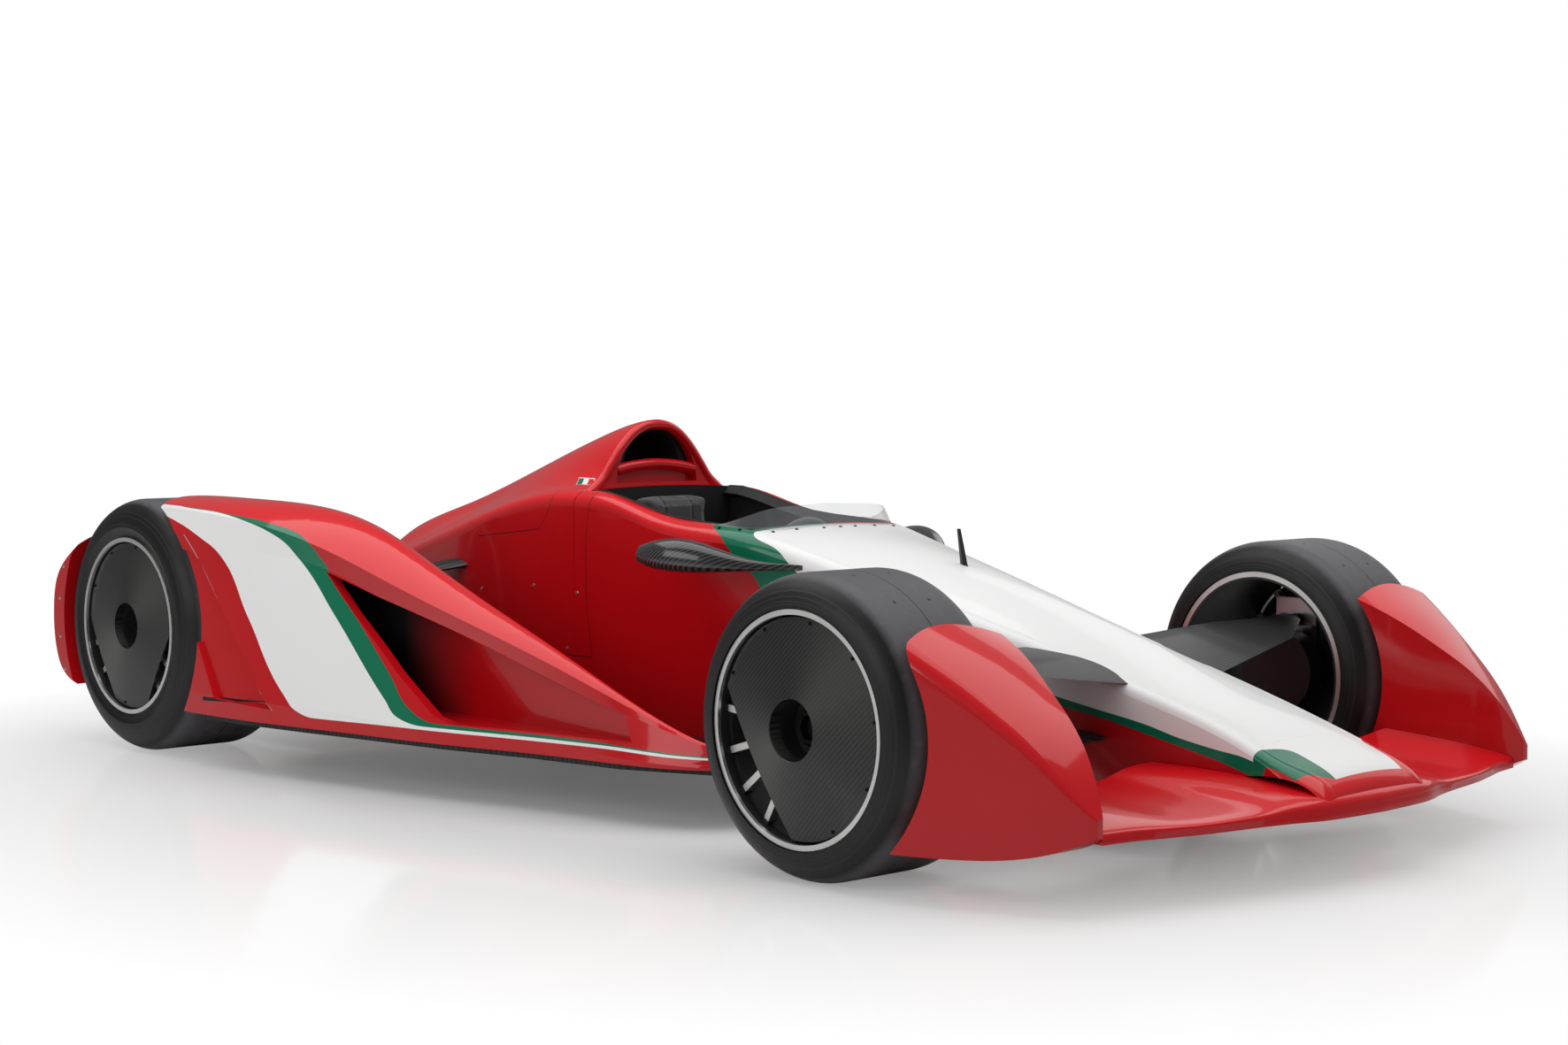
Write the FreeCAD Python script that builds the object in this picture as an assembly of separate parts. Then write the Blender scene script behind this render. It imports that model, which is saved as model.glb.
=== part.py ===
"""Single seat racing car with open wheels, a low pointed nose and a wedge of bodywork at each wheel.

Frame: +X forward, +Y to the driver's left, +Z up, millimetres.
The origin is on the ground, at the middle of the car's length and width.
"""
import FreeCAD, Part
import math
import os

# Overall layout
wheelbase = 2950.0
front_overhang = 860.0
rear_overhang = 500.0
floor_z = 155.0
hoop_top_z = 1025.0
body_half_width = 330.0
pod_half_width = 1050.0

# Wheels
rim_flange_radius = 270.0
rim_flange_lip = 8.0
rim_wall = 12.0
front_tyre_radius = 350.0
front_tyre_width = 355.0
front_wheel_y = 853.0
front_shoulder_radius = 78.0
rear_tyre_radius = 387.5
rear_tyre_width = 400.0
rear_wheel_y = 857.0
rear_shoulder_radius = 86.0
flange_inset = 12.0
rim_mouth_wall = 4.0
rim_mouth_depth = 30.0
cover_inset = 6.0
cover_thickness = 6.0
cover_edge_gap = 5.0
front_cover_rise = 26.0
rear_cover_rise = 16.0
hub_hole_radius = 70.0
spoke_count = 16
spoke_width = 16.0
spoke_turn_deg = 6.0
spoke_depth = 26.0
hub_depth = 70.0
hub_socket_depth = 45.0
cover_back_gap = 4.0
flange_lip_width = 7.0
tyre_seat_gap = 0.3
axle_end_gap = 3.0
hub_radius = 86.0
axle_radius = 24.0
axle_gap = 0.3
brake_radius = 165.0
brake_thickness = 30.0
brake_hat_radius = 75.0
brake_offset = 20.0

# Front corner
knuckle_offset = 25.0
knuckle_half_height = 118.0
knuckle_width = 56.0
knuckle_depth = 70.0
kingpin_radius = 12.0
kingpin_gap = 0.3
eye_radius = 24.0
eye_height = 26.0
eye_clearance = 6.0
caliper_length = 130.0
caliper_height = 52.0
caliper_wall = 18.0
caliper_gap = 7.0
caliper_setback = 4.0
drum_radius = 112.0
drum_depth = 60.0
drum_offset = 20.0
rear_upright_offset = 60.0

# Arms and shafts
arm_thickness = 26.0
upper_arm_root_chord = 300.0
upper_arm_tip_chord = 92.0
upper_arm_bend_chord = 270.0
upper_arm_bend_y = 600.0
lower_arm_root_chord = 150.0
lower_arm_tip_chord = 56.0
driveshaft_radius = 22.0

# Front fender and wing
fender_gap = 30.0
wing_lip = 15.0

# Rear arch, guard and deck
arch_gap = 18.0
guard_inner_y = 665.0
guard_edge_round = 12.0
guard_shoulder_width = 110.0
guard_seat_width = 70.0
deck_thickness = 36.0
floor_thickness = 15.0

# Pod duct and inset
panel_wall = 28.0
duct_inner_y = 760.0
inset_depth = 4.0
inset_turn_deg = 3.2

# Cockpit
cockpit_wall = 62.0
cockpit_floor = 40.0
rim_corner = 60.0
screen_thickness = 5.0
seat_wall = 18.0
seat_gap = 12.0
steering_radius = 132.0
steering_grip = 14.0
steering_tilt_deg = 20.0
steering_column_radius = 16.0
steering_gap = 0.3
steering_hub_radius = 42.0
dash_thickness = 30.0
dash_setback = 5.0
footwell_half_width = 170.0
footwell_height = 260.0
seat_length = 430.0
seat_recline = 150.0
seat_half_width = 175.0
headrest_depth = 70.0
headrest_height = 115.0
headrest_half_width = 120.0
headrest_gap = 4.0
screen_height = 60.0
screen_seat_gap = 0.3

# Hoop and intake
hoop_lip = 30.0
hoop_lip_depth = 26.0
intake_depth = 170.0
intake_drop = 40.0
intake_half_width = 108.0
intake_wall = 6.0
hoop_half_width = 186.0

# Engine
engine_length = 560.0
engine_half_width = 185.0
engine_clearance = 15.0
engine_setback = 130.0

# Small parts
mirror_height = 78.0
mirror_width = 120.0
pitot_height = 100.0
pitot_lean = 34.0
pitot_chord = 30.0
pitot_width = 9.0
cut_overrun = 50.0

# Further places, as shares of the sizes named with them
cockpit_front_share = 0.330
cockpit_rear_share = 0.560
footwell_front_share = 0.185
tail_share = 1.7
arch_side_share = 0.35
arch_high_share = 0.80
arch_side_width_share = 0.92
arch_high_width_share = 0.60
sill_share = 0.12
fender_round_share = 0.10
corner_round_share = 0.40
# Windscreen, centre to the left end: place, half width, height, direction of its face in degrees
screen_shares = ((0.316, 0.00, 1.00, 0), (0.316, 0.42, 0.97, 4), (0.321, 0.72, 0.86, 30),
                 (0.337, 0.84, 0.52, 68), (0.375, 0.87, 0.06, 84))
screen_lean_share = 0.45
steering_share = 0.362
steering_height_share = 0.545
seat_back_share = 0.552
hoop_base_share = 0.782
intake_base_share = 0.845
engine_top_share = 0.506
dash_low_share = 0.25
dash_top_share = 0.600
lens_peak_share = 0.36
arm_root_share = 0.40
upper_arm_front_share = -0.320
upper_arm_front_z_share = 0.285
upper_arm_rear_z_share = 0.368
lower_arm_front_share = -0.270
lower_arm_z_share = 0.145
front_cover_cuts = ((57, 0.20),)
rear_cover_cuts = ((58, 0.18), (-58, 0.18))
rear_root_share = 0.30
radius_rod_share = 0.735
radius_rod_z_share = 0.500
radius_rod_root_share = 0.70
mirror_shares = ((0.245, 0.80, 0.553, 0.03, 0.06), (0.275, 0.98, 0.558, 0.10, 0.12),
                 (0.303, 1.16, 0.566, 0.30, 0.26), (0.328, 1.30, 0.580, 0.44, 0.46),
                 (0.352, 1.37, 0.588, 0.50, 0.56), (0.378, 1.41, 0.588, 0.46, 0.48),
                 (0.394, 1.42, 0.588, 0.38, 0.34))
pitot_share = 0.141
pitot_tip_share = 0.45

ground_z = 0.0
overall_length = front_overhang + wheelbase + rear_overhang
front_axle_x = overall_length / 2 - front_overhang
rear_axle_x = front_axle_x - wheelbase

# Body outline, front to rear: place along the car, half width and height of the side's top,
# half width and height of the upper corner, height on the centre line, half width at the floor
body_shares = (
    (-0.980, 0.610, 0.020, 0.530, 0.032, 0.040, 0.610),
    (-0.942, 0.650, 0.038, 0.455, 0.086, 0.095, 0.650),
    (-0.837, 0.640, 0.095, 0.515, 0.128, 0.137, 0.650),
    (-0.700, 0.595, 0.153, 0.500, 0.178, 0.192, 0.610),
    (-0.420, 0.590, 0.236, 0.500, 0.266, 0.282, 0.590),
    (0.000, 0.635, 0.345, 0.530, 0.380, 0.418, 0.620),
    (0.154, 0.770, 0.480, 0.650, 0.517, 0.572, 0.755),
    (0.288, 0.910, 0.585, 0.770, 0.632, 0.655, 0.905),
    (0.322, 0.960, 0.610, 0.785, 0.658, 0.668, 0.945),
    (0.373, 1.000, 0.622, 0.815, 0.673, 0.680, 0.965),
    (0.447, 0.985, 0.646, 0.865, 0.692, 0.697, 0.965),
    (0.512, 0.965, 0.690, 0.885, 0.742, 0.747, 0.960),
    (0.569, 0.955, 0.700, 0.864, 0.757, 0.762, 0.955),
)

# Engine cover outline: as above to the upper corner, then two points of the flank (half width
# and height each), the height of the spine and the half width at the floor
cover_shares = (
    (0.555, 0.955, 0.700, 0.864, 0.757, 0.610, 0.800, 0.400, 0.920, 0.994, 0.955),
    (0.600, 0.955, 0.698, 0.858, 0.757, 0.600, 0.797, 0.370, 0.905, 0.980, 0.950),
    (0.644, 0.939, 0.684, 0.833, 0.743, 0.560, 0.784, 0.330, 0.873, 0.940, 0.939),
    (0.705, 0.909, 0.644, 0.803, 0.701, 0.510, 0.744, 0.280, 0.817, 0.874, 0.909),
    (0.783, 0.833, 0.575, 0.727, 0.633, 0.450, 0.676, 0.220, 0.733, 0.785, 0.848),
    (0.881, 0.682, 0.483, 0.576, 0.550, 0.340, 0.598, 0.170, 0.639, 0.680, 0.727),
    (1.000, 0.500, 0.397, 0.394, 0.470, 0.240, 0.502, 0.120, 0.524, 0.545, 0.545),
    (1.700, 0.333, 0.316, 0.242, 0.400, 0.150, 0.420, 0.080, 0.432, 0.440, 0.394),
)
split_share = 0.154
cover_front_share = 0.569
shoulder_round_share = 0.30
crown_round_share = 0.75

# Front wing, from the centre outwards: half width, leading edge, trailing edge, then the top's
# height behind the lip, at mid chord and at the trailing edge
wing_shares = (
    (0.000, -1.000, -0.400, 0.060, 0.085, 0.090),
    (0.200, -0.982, -0.400, 0.058, 0.085, 0.090),
    (0.280, -0.948, -0.400, 0.050, 0.078, 0.085),
    (0.360, -0.930, -0.400, 0.034, 0.048, 0.060),
    (0.500, -0.898, -0.455, 0.030, 0.044, 0.066),
    (0.600, -0.862, -0.455, 0.032, 0.054, 0.082),
    (0.680, -0.835, -0.455, 0.034, 0.062, 0.092),
    (0.780, -0.815, -0.455, 0.034, 0.064, 0.092),
)
wing_lip_share = 0.06
wing_mid_share = 0.45

# Front fender, rear to front: place, inner ridge (half width, height), outer ridge, underside
fender_shares = (
    (-0.270, 0.645, 0.510, 0.985, 0.545, -0.052),
    (-0.372, 0.657, 0.468, 0.968, 0.468, -0.052),
    (-0.490, 0.682, 0.412, 0.931, 0.389, -0.052),
    (-0.600, 0.712, 0.342, 0.896, 0.305, -0.046),
    (-0.700, 0.738, 0.268, 0.864, 0.218, -0.030),
    (-0.780, 0.762, 0.178, 0.832, 0.130, -0.004),
    (-0.838, 0.786, 0.074, 0.801, 0.066, 0.022),
)
fender_bulge_share = 0.05

# Pod, front to rear: place, half width of the sill, blade's lower edge (half width, height),
# blade's ridge, crest, inner flank, half width of the inner foot
pod_shares = (
    (0.217, 0.667, 0.664, 0.056, 0.663, 0.062, 0.658, 0.066, 0.650, 0.060, 0.643),
    (0.305, 0.762, 0.750, 0.152, 0.748, 0.178, 0.738, 0.187, 0.700, 0.150, 0.664),
    (0.407, 0.805, 0.802, 0.256, 0.808, 0.304, 0.772, 0.334, 0.705, 0.262, 0.660),
    (0.508, 0.871, 0.834, 0.352, 0.842, 0.402, 0.776, 0.455, 0.690, 0.370, 0.640),
    (0.610, 0.916, 0.872, 0.440, 0.880, 0.508, 0.776, 0.586, 0.675, 0.480, 0.620),
    (0.695, 0.955, 0.915, 0.530, 0.920, 0.598, 0.771, 0.676, 0.655, 0.560, 0.610),
    (0.780, 0.988, 0.958, 0.560, 0.955, 0.655, 0.771, 0.710, 0.648, 0.600, 0.610),
    (0.881, 1.000, 0.988, 0.600, 0.975, 0.685, 0.771, 0.714, 0.648, 0.610, 0.610),
    (0.960, 1.000, 0.990, 0.600, 0.978, 0.690, 0.771, 0.710, 0.648, 0.610, 0.610),
)
# Duct mouth seen from the side: place and height of its corners
duct_mouth_shares = ((0.290, 0.066), (0.500, 0.066), (0.519, 0.083), (0.573, 0.207), (0.637, 0.380),
                     (0.678, 0.510), (0.610, 0.440), (0.508, 0.352), (0.407, 0.256), (0.300, 0.145))
duct_back_shares = ((0.500, 0.066), (0.690, 0.066), (0.760, 0.400), (0.745, 0.480), (0.660, 0.480))
# Inset beside the arch seen from the side
inset_shares = ((0.830, 0.060), (0.738, 0.046), (0.756, 0.100), (0.815, 0.335), (0.862, 0.522),
                (0.876, 0.548), (0.920, 0.562))

# Rear guard seen from the side, top to bottom: place behind the rear axle and height of its inner
# part, then the same for its outer face
guard_shares = (
    (1.550, 0.585, 1.550, 0.576),
    (1.700, 0.583, 1.698, 0.524),
    (1.810, 0.563, 1.850, 0.464),
    (1.905, 0.490, 1.930, 0.405),
    (1.960, 0.390, 1.964, 0.335),
    (1.975, 0.268, 1.972, 0.268),
    (1.930, 0.130, 1.930, 0.130),
    (1.886, 0.086, 1.886, 0.086),
    (1.726, 0.031, 1.726, 0.031),
    (1.550, 0.022, 1.550, 0.022),
)
# Floor plan: place and half width as a share of the pod's
floor_plan_shares = ((-0.390, 0.185), (0.150, 0.230), (0.205, 0.560), (0.222, 0.655), (0.305, 0.752),
                     (0.407, 0.795), (0.508, 0.861), (0.610, 0.906), (0.695, 0.945), (0.780, 0.978),
                     (0.850, 0.990), (0.851, 0.590), (1.700, 0.590))
deck_shares = ((1.700, 0.000), (1.700, 0.590), (1.900, 0.600), (2.000, 0.000))
deck_foot_shares = (1.745, 1.900)


def vec(x, y, z):
    """Point from its three coordinates."""
    return FreeCAD.Vector(x, y, z)


def along(share):
    """Place along the car: -1 nose tip, 0 front axle, 1 rear axle, 2 tail end."""
    if share < 0:
        return front_axle_x - share * front_overhang
    if share > 1:
        return rear_axle_x - (share - 1) * rear_overhang
    return front_axle_x - share * wheelbase


def up(share):
    """Height: 0 at the floor, 1 at the top of the roll hoop."""
    return floor_z + share * (hoop_top_z - floor_z)


def line(start, end):
    """Straight edge."""
    return Part.LineSegment(start, end).toShape()


def curve(points):
    """Smooth edge through the points."""
    spline = Part.BSplineCurve()
    spline.interpolate(points)
    return spline.toShape()


def polygon(points):
    """Flat face inside straight edges."""
    return Part.Face(Part.makePolygon(list(points) + [points[0]]))


def loft(wires, ruled=False):
    """Solid through the section wires, smooth or with straight lines from one to the next."""
    return Part.makeLoft(wires, True, ruled)


def box(x0, x1, y0, y1, z0, z1):
    """Block between two corners."""
    return Part.makeBox(x1 - x0, y1 - y0, z1 - z0, vec(x0, y0, z0))


def mirrored(shape):
    """The same piece on the right of the car."""
    return shape.mirror(vec(0, 0, 0), vec(0, 1, 0))


def across(radius, y0, y1, x, z):
    """Cylinder along Y."""
    return Part.makeCylinder(radius, y1 - y0, vec(x, y0, z), vec(0, 1, 0))


def loop_with_mirror(bottom, side, top):
    """Closed wire from the left half's edges, mirrored to the right."""
    edges = [bottom] + side + [top] + [mirrored(edge) for edge in reversed(side)]
    return Part.Wire(Part.__sortEdges__(edges))


def body_section(row):
    """Cross section of the nose and the cockpit."""
    place, half, side_top, corner, corner_top, crown, foot = row
    x = along(place)
    side_y = half * body_half_width
    corner_y = corner * body_half_width
    foot_y = foot * body_half_width
    bottom = line(vec(x, -foot_y, floor_z), vec(x, foot_y, floor_z))
    shoulder_y = corner_y + (side_y - corner_y) * (1 - shoulder_round_share)
    shoulder_z = up(side_top) + (up(corner_top) - up(side_top)) * (1 - shoulder_round_share)
    side = [
        line(vec(x, foot_y, floor_z), vec(x, side_y, up(side_top))),
        curve([vec(x, side_y, up(side_top)), vec(x, shoulder_y, shoulder_z),
               vec(x, corner_y, up(corner_top))]),
    ]
    middle_z = up(corner_top) + (up(crown) - up(corner_top)) * crown_round_share
    top = curve([
        vec(x, corner_y, up(corner_top)), vec(x, corner_y / 2, middle_z), vec(x, 0, up(crown)),
        vec(x, -corner_y / 2, middle_z), vec(x, -corner_y, up(corner_top)),
    ])
    return loop_with_mirror(bottom, side, top)


def cover_section(row):
    """Cross section of the engine cover with its spine."""
    place, half, side_top, corner, corner_top, low_y, low_z, high_y, high_z, spine, foot = row
    x = along(place)
    side_y = half * body_half_width
    corner_y = corner * body_half_width
    foot_y = foot * body_half_width
    bottom = line(vec(x, -foot_y, floor_z), vec(x, foot_y, floor_z))
    shoulder_y = corner_y + (side_y - corner_y) * (1 - shoulder_round_share)
    shoulder_z = up(side_top) + (up(corner_top) - up(side_top)) * (1 - shoulder_round_share)
    side = [
        line(vec(x, foot_y, floor_z), vec(x, side_y, up(side_top))),
        curve([vec(x, side_y, up(side_top)), vec(x, shoulder_y, shoulder_z),
               vec(x, corner_y, up(corner_top))]),
    ]
    flank = [
        vec(x, corner_y, up(corner_top)), vec(x, low_y * body_half_width, up(low_z)),
        vec(x, high_y * body_half_width, up(high_z)),
    ]
    right = [vec(p.x, -p.y, p.z) for p in reversed(flank)]
    top = curve(flank + [vec(x, 0, up(spine))] + right)
    return loop_with_mirror(bottom, side, top)


def front_body():
    """Nose and cockpit shell in one surface, before it is split."""
    return loft([body_section(row) for row in body_shares])


def slab_x(share_front, share_rear):
    """Everything between two places along the car."""
    return box(along(share_rear), along(share_front), -pod_half_width, pod_half_width, 0,
               hoop_top_z + cut_overrun)


def make_nose(body, wing):
    """Nose from its tip to the footwell, seated on the wing."""
    return body.common(slab_x(-1, split_share)).cut(wing)


def surface_z(shape, x, y):
    """Height of a shape's top surface over one place."""
    probe = line(vec(x, y, ground_z), vec(x, y, hoop_top_z + cut_overrun))
    return shape.common(probe).BoundBox.ZMax


def cockpit_cavity():
    """Space of the cockpit: the open top and the footwell under the cowl."""
    low = floor_z + cockpit_floor
    half = body_half_width - cockpit_wall
    narrow = half - rim_corner / 2
    front = along(cockpit_front_share)
    rear = along(cockpit_rear_share)
    outline = [
        vec(rear, -half, low), vec(front - rim_corner, -half, low), vec(front, -narrow, low),
        vec(front, narrow, low), vec(front - rim_corner, half, low), vec(rear, half, low),
    ]
    opening = polygon(outline).extrude(vec(0, 0, hoop_top_z))
    well = box(front, along(footwell_front_share), -footwell_half_width, footwell_half_width,
               low, low + footwell_height)
    return opening, well


def make_tub(body, opening, well):
    """Cockpit shell with its open top and the footwell."""
    return body.common(slab_x(split_share, cover_front_share)).cut(opening).cut(well)


def arch(x, half, low, top):
    """Face of a round topped opening at one place along the car."""
    side_z = low + (top - low) * arch_side_share
    high_z = low + (top - low) * arch_high_share
    points = [vec(x, half, low), vec(x, half * arch_side_width_share, side_z),
              vec(x, half * arch_high_width_share, high_z), vec(x, 0, top)]
    right = [vec(p.x, -p.y, p.z) for p in reversed(points[:-1])]
    edges = [curve(points + right), line(vec(x, -half, low), vec(x, half, low))]
    return Part.Face(Part.Wire(Part.__sortEdges__(edges)))


def make_engine_cover():
    """Engine cover with the roll hoop's lip, the air intake and the room for the engine."""
    front = along(cover_front_share)
    cover = loft([cover_section(row) for row in cover_shares])
    cover = cover.common(slab_x(cover_front_share, tail_share))
    face_x = front - hoop_lip_depth
    recess = arch(face_x, hoop_half_width - hoop_lip, up(hoop_base_share), hoop_top_z - hoop_lip)
    recess = recess.extrude(vec(hoop_lip_depth + cut_overrun, 0, 0))
    mouth = arch(face_x, intake_half_width, up(intake_base_share), hoop_top_z - hoop_lip - intake_wall)
    mouth = mouth.extrude(vec(-intake_depth, 0, -intake_drop))
    bay = engine_box(engine_clearance)
    return cover.cut(recess).cut(mouth).cut(bay)


def engine_box(clearance):
    """Block of the engine, or the room for it, standing on the floor."""
    front = along(cover_front_share) - engine_setback + clearance
    half = engine_half_width + clearance
    return box(front - engine_length - 2 * clearance, front, -half, half, floor_z,
               up(engine_top_share) + clearance)


def wing_section(row, side):
    """Cross section of the front wing at one distance from the centre line."""
    half, front, rear, lip_top, middle_top, rear_top = row
    y = side * half * pod_half_width
    x0 = along(front)
    x1 = along(rear)
    chord = x0 - x1
    top = curve([
        vec(x0, y, floor_z + wing_lip), vec(x0 - chord * wing_lip_share, y, up(lip_top)),
        vec(x0 - chord * wing_mid_share, y, up(middle_top)), vec(x1, y, up(rear_top)),
    ])
    edges = [
        line(vec(x0, y, floor_z), vec(x0, y, floor_z + wing_lip)), top,
        line(vec(x1, y, up(rear_top)), vec(x1, y, floor_z)),
        line(vec(x1, y, floor_z), vec(x0, y, floor_z)),
    ]
    return Part.Wire(edges)


def make_front_wing(fender):
    """Front wing from fender to fender, under the nose."""
    right = [wing_section(row, -1) for row in reversed(wing_shares[1:])]
    left = [wing_section(row, 1) for row in wing_shares]
    wing = loft(right + left, True)
    return wing.cut(fender).cut(mirrored(fender))


def fender_section(row):
    """Cross section of the left front fender."""
    place, inner, inner_top, outer, outer_top, under = row
    x = along(place)
    inner_y = inner * pod_half_width
    outer_y = outer * pod_half_width
    round_y = (outer_y - inner_y) * fender_round_share
    round_z = (up(outer_top) - up(under)) * fender_round_share
    start = vec(x, inner_y, up(inner_top))
    shoulder_z = up(outer_top) + (up(inner_top) - up(outer_top)) * fender_round_share
    shoulder = vec(x, outer_y - round_y, shoulder_z)
    middle = start.add(shoulder).multiply(1 / 2)
    middle.z += (outer_y - inner_y) * fender_bulge_share
    edge = vec(x, outer_y, up(outer_top) - round_z)
    corner = shoulder.add(edge).multiply(1 / 2)
    corner = corner.add(vec(x, outer_y, up(outer_top)).sub(corner).multiply(corner_round_share))
    edges = [
        curve([start, middle, shoulder]), curve([shoulder, corner, edge]),
        line(edge, vec(x, outer_y, up(under))),
        line(vec(x, outer_y, up(under)), vec(x, inner_y, up(under))),
        line(vec(x, inner_y, up(under)), start),
    ]
    return Part.Wire(edges)


def make_front_fender():
    """Left front fender: a wedge hollowed round the tyre."""
    fender = loft([fender_section(row) for row in fender_shares])
    hollow = across(front_tyre_radius + fender_gap, 0, overall_length, front_axle_x, front_tyre_radius)
    return fender.cut(hollow)


def pod_section(row):
    """Cross section of the left pod before its duct is cut."""
    place, sill, low_y, low_z, ridge_y, ridge_z, crest_y, crest_z, flank_y, flank_z, foot = row
    x = along(place)
    wide = pod_half_width
    sill_top = floor_z + (up(low_z) - floor_z) * sill_share
    ridge = vec(x, ridge_y * wide, up(ridge_z))
    flank = vec(x, flank_y * wide, up(flank_z))
    edges = [
        line(vec(x, foot * wide, floor_z), vec(x, sill * wide, floor_z)),
        line(vec(x, sill * wide, floor_z), vec(x, sill * wide, sill_top)),
        line(vec(x, sill * wide, sill_top), vec(x, low_y * wide, up(low_z))),
        line(vec(x, low_y * wide, up(low_z)), ridge),
        curve([ridge, vec(x, crest_y * wide, up(crest_z)), flank]),
        line(flank, vec(x, foot * wide, floor_z)),
    ]
    return Part.Wire(edges)


def side_face(shares, y):
    """Flat face seen from the side, from places and heights."""
    return polygon([vec(along(place), y, up(height)) for place, height in shares])


def make_pod():
    """Left pod: rising blade, duct behind its outer wall, arch over the rear tyre's front."""
    envelope = loft([pod_section(row) for row in pod_shares])
    wheel_room = across(rear_tyre_radius + arch_gap, guard_inner_y / 2, overall_length, rear_axle_x,
                        rear_tyre_radius)
    mouth = side_face(duct_mouth_shares, duct_inner_y).extrude(vec(0, pod_half_width, 0))
    behind = side_face(duct_back_shares, duct_inner_y).extrude(vec(0, pod_half_width, 0))
    behind = behind.common(envelope.translated(vec(0, -panel_wall, 0)))
    inset = side_face(inset_shares, duct_inner_y).extrude(vec(0, pod_half_width, 0))
    inner = envelope.translated(vec(0, -inset_depth, 0))
    inner.rotate(vec(along(inset_shares[-1][0]), pod_half_width, 0), vec(0, 0, 1), -inset_turn_deg)
    inset = inset.cut(inner)
    return envelope.cut(wheel_room).cut(mouth).cut(behind).cut(inset)


def guard_section(y, outside, shrink):
    """Side outline of the rear guard's inner part or outer face, drawn in towards its middle."""
    middle = vec(rear_axle_x, y, rear_tyre_radius)
    outer = []
    for inner_place, inner_height, outer_place, outer_height in guard_shares:
        place, height = (outer_place, outer_height) if outside else (inner_place, inner_height)
        point = vec(along(place), y, up(height))
        inward = middle.sub(point)
        inward.normalize()
        outer.append(point.add(inward.multiply(shrink)))
    inner_top = vec(rear_axle_x - rear_tyre_radius / 2, y, outer[0].z)
    inner_low = vec(rear_axle_x - rear_tyre_radius / 2, y, outer[-1].z)
    edges = [
        curve(outer), line(outer[-1], inner_low), line(inner_low, inner_top), line(inner_top, outer[0]),
    ]
    return Part.Wire(edges)


def make_rear_guard():
    """Left guard behind the rear tyre, with a sloping shoulder down to its outer face."""
    outer_y = pod_half_width
    stations = (
        (guard_inner_y, False, guard_edge_round),
        (guard_inner_y + guard_edge_round, False, 0),
        (outer_y - guard_shoulder_width, False, 0),
        (outer_y - guard_edge_round, True, 0),
        (outer_y, True, guard_edge_round),
    )
    guard = loft([guard_section(*station) for station in stations], True)
    wheel_room = across(rear_tyre_radius + arch_gap, 0, overall_length, rear_axle_x, rear_tyre_radius)
    return guard.cut(wheel_room)


def plan_plate(shares, low, thickness):
    """Plate with a plan outline that is the same on both sides."""
    left = [vec(along(place), half * pod_half_width, low) for place, half in shares]
    right = [vec(p.x, -p.y, p.z) for p in reversed(left) if p.y > 0]
    return polygon(left + right).extrude(vec(0, 0, thickness))


def make_floor():
    """Flat floor under the body and the pods."""
    return plan_plate(floor_plan_shares, floor_z - floor_thickness, floor_thickness)


def make_rear_deck(cover, guard):
    """Low deck behind the floor that carries the rear guards."""
    low = floor_z - floor_thickness
    front, rear = deck_foot_shares
    reach = guard_inner_y + guard_seat_width
    deck = plan_plate(deck_shares, low, floor_thickness + deck_thickness)
    foot = box(along(rear), along(front), -reach, reach, low, floor_z + deck_thickness)
    return deck.fuse(foot).removeSplitter().cut(cover).cut(guard).cut(mirrored(guard))


def screen_section(body, place, half, height, turn):
    """Section of the windscreen across its glass, standing on the cowl."""
    x = along(place)
    y = half * body_half_width
    outward = vec(math.cos(turn), math.sin(turn), 0)
    inner = vec(x, y, surface_z(body, x, y) + screen_seat_gap)
    outer = inner.add(vec(outward.x * screen_thickness, outward.y * screen_thickness, 0))
    lean = vec(outward.x, outward.y, 0).multiply(-height * screen_lean_share)
    rise = vec(lean.x, lean.y, height)
    return Part.makePolygon([inner, outer, outer.add(rise), inner.add(rise), inner])


def make_windscreen(body):
    """Low wrapped windscreen in front of the cockpit."""
    left = []
    for place, half, share, turn in screen_shares:
        left.append((place, half, share * screen_height, math.radians(turn)))
    right = [(place, -half, height, -turn) for place, half, height, turn in reversed(left) if half > 0]
    return loft([screen_section(body, *row) for row in left[::-1] + right[::-1]])


def seat_top():
    """Height of the seat back's upper edge."""
    return floor_z + cockpit_floor + seat_back_share * (hoop_top_z - floor_z)


def make_seat():
    """Reclined one piece seat on the cockpit's floor."""
    low = floor_z + cockpit_floor
    rear = along(cockpit_rear_share)
    points = [
        vec(rear + seat_gap + seat_length, 0, low), vec(rear + seat_gap + seat_recline, 0, low),
        vec(rear + seat_gap, 0, seat_top() - seat_wall), vec(rear + seat_gap + seat_wall, 0, seat_top()),
        vec(rear + seat_gap + seat_recline + 2 * seat_wall, 0, low + 3 * seat_wall),
        vec(rear + seat_gap + seat_length, 0, low + 2 * seat_wall),
    ]
    return polygon(points).extrude(vec(0, seat_half_width, 0)).fuse(
        polygon(points).extrude(vec(0, -seat_half_width, 0))).removeSplitter()


def make_headrest():
    """Padded block on the wall behind the seat."""
    rear = along(cockpit_rear_share)
    low = seat_top() + headrest_gap
    return box(rear, rear + headrest_depth, -headrest_half_width, headrest_half_width, low,
               low + headrest_height)


def steering_frame():
    """Centre of the steering wheel and the direction of its column towards the driver."""
    tilt = math.radians(steering_tilt_deg)
    centre = vec(along(steering_share), 0, up(steering_height_share))
    return centre, vec(-math.cos(tilt), 0, math.sin(tilt))


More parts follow.
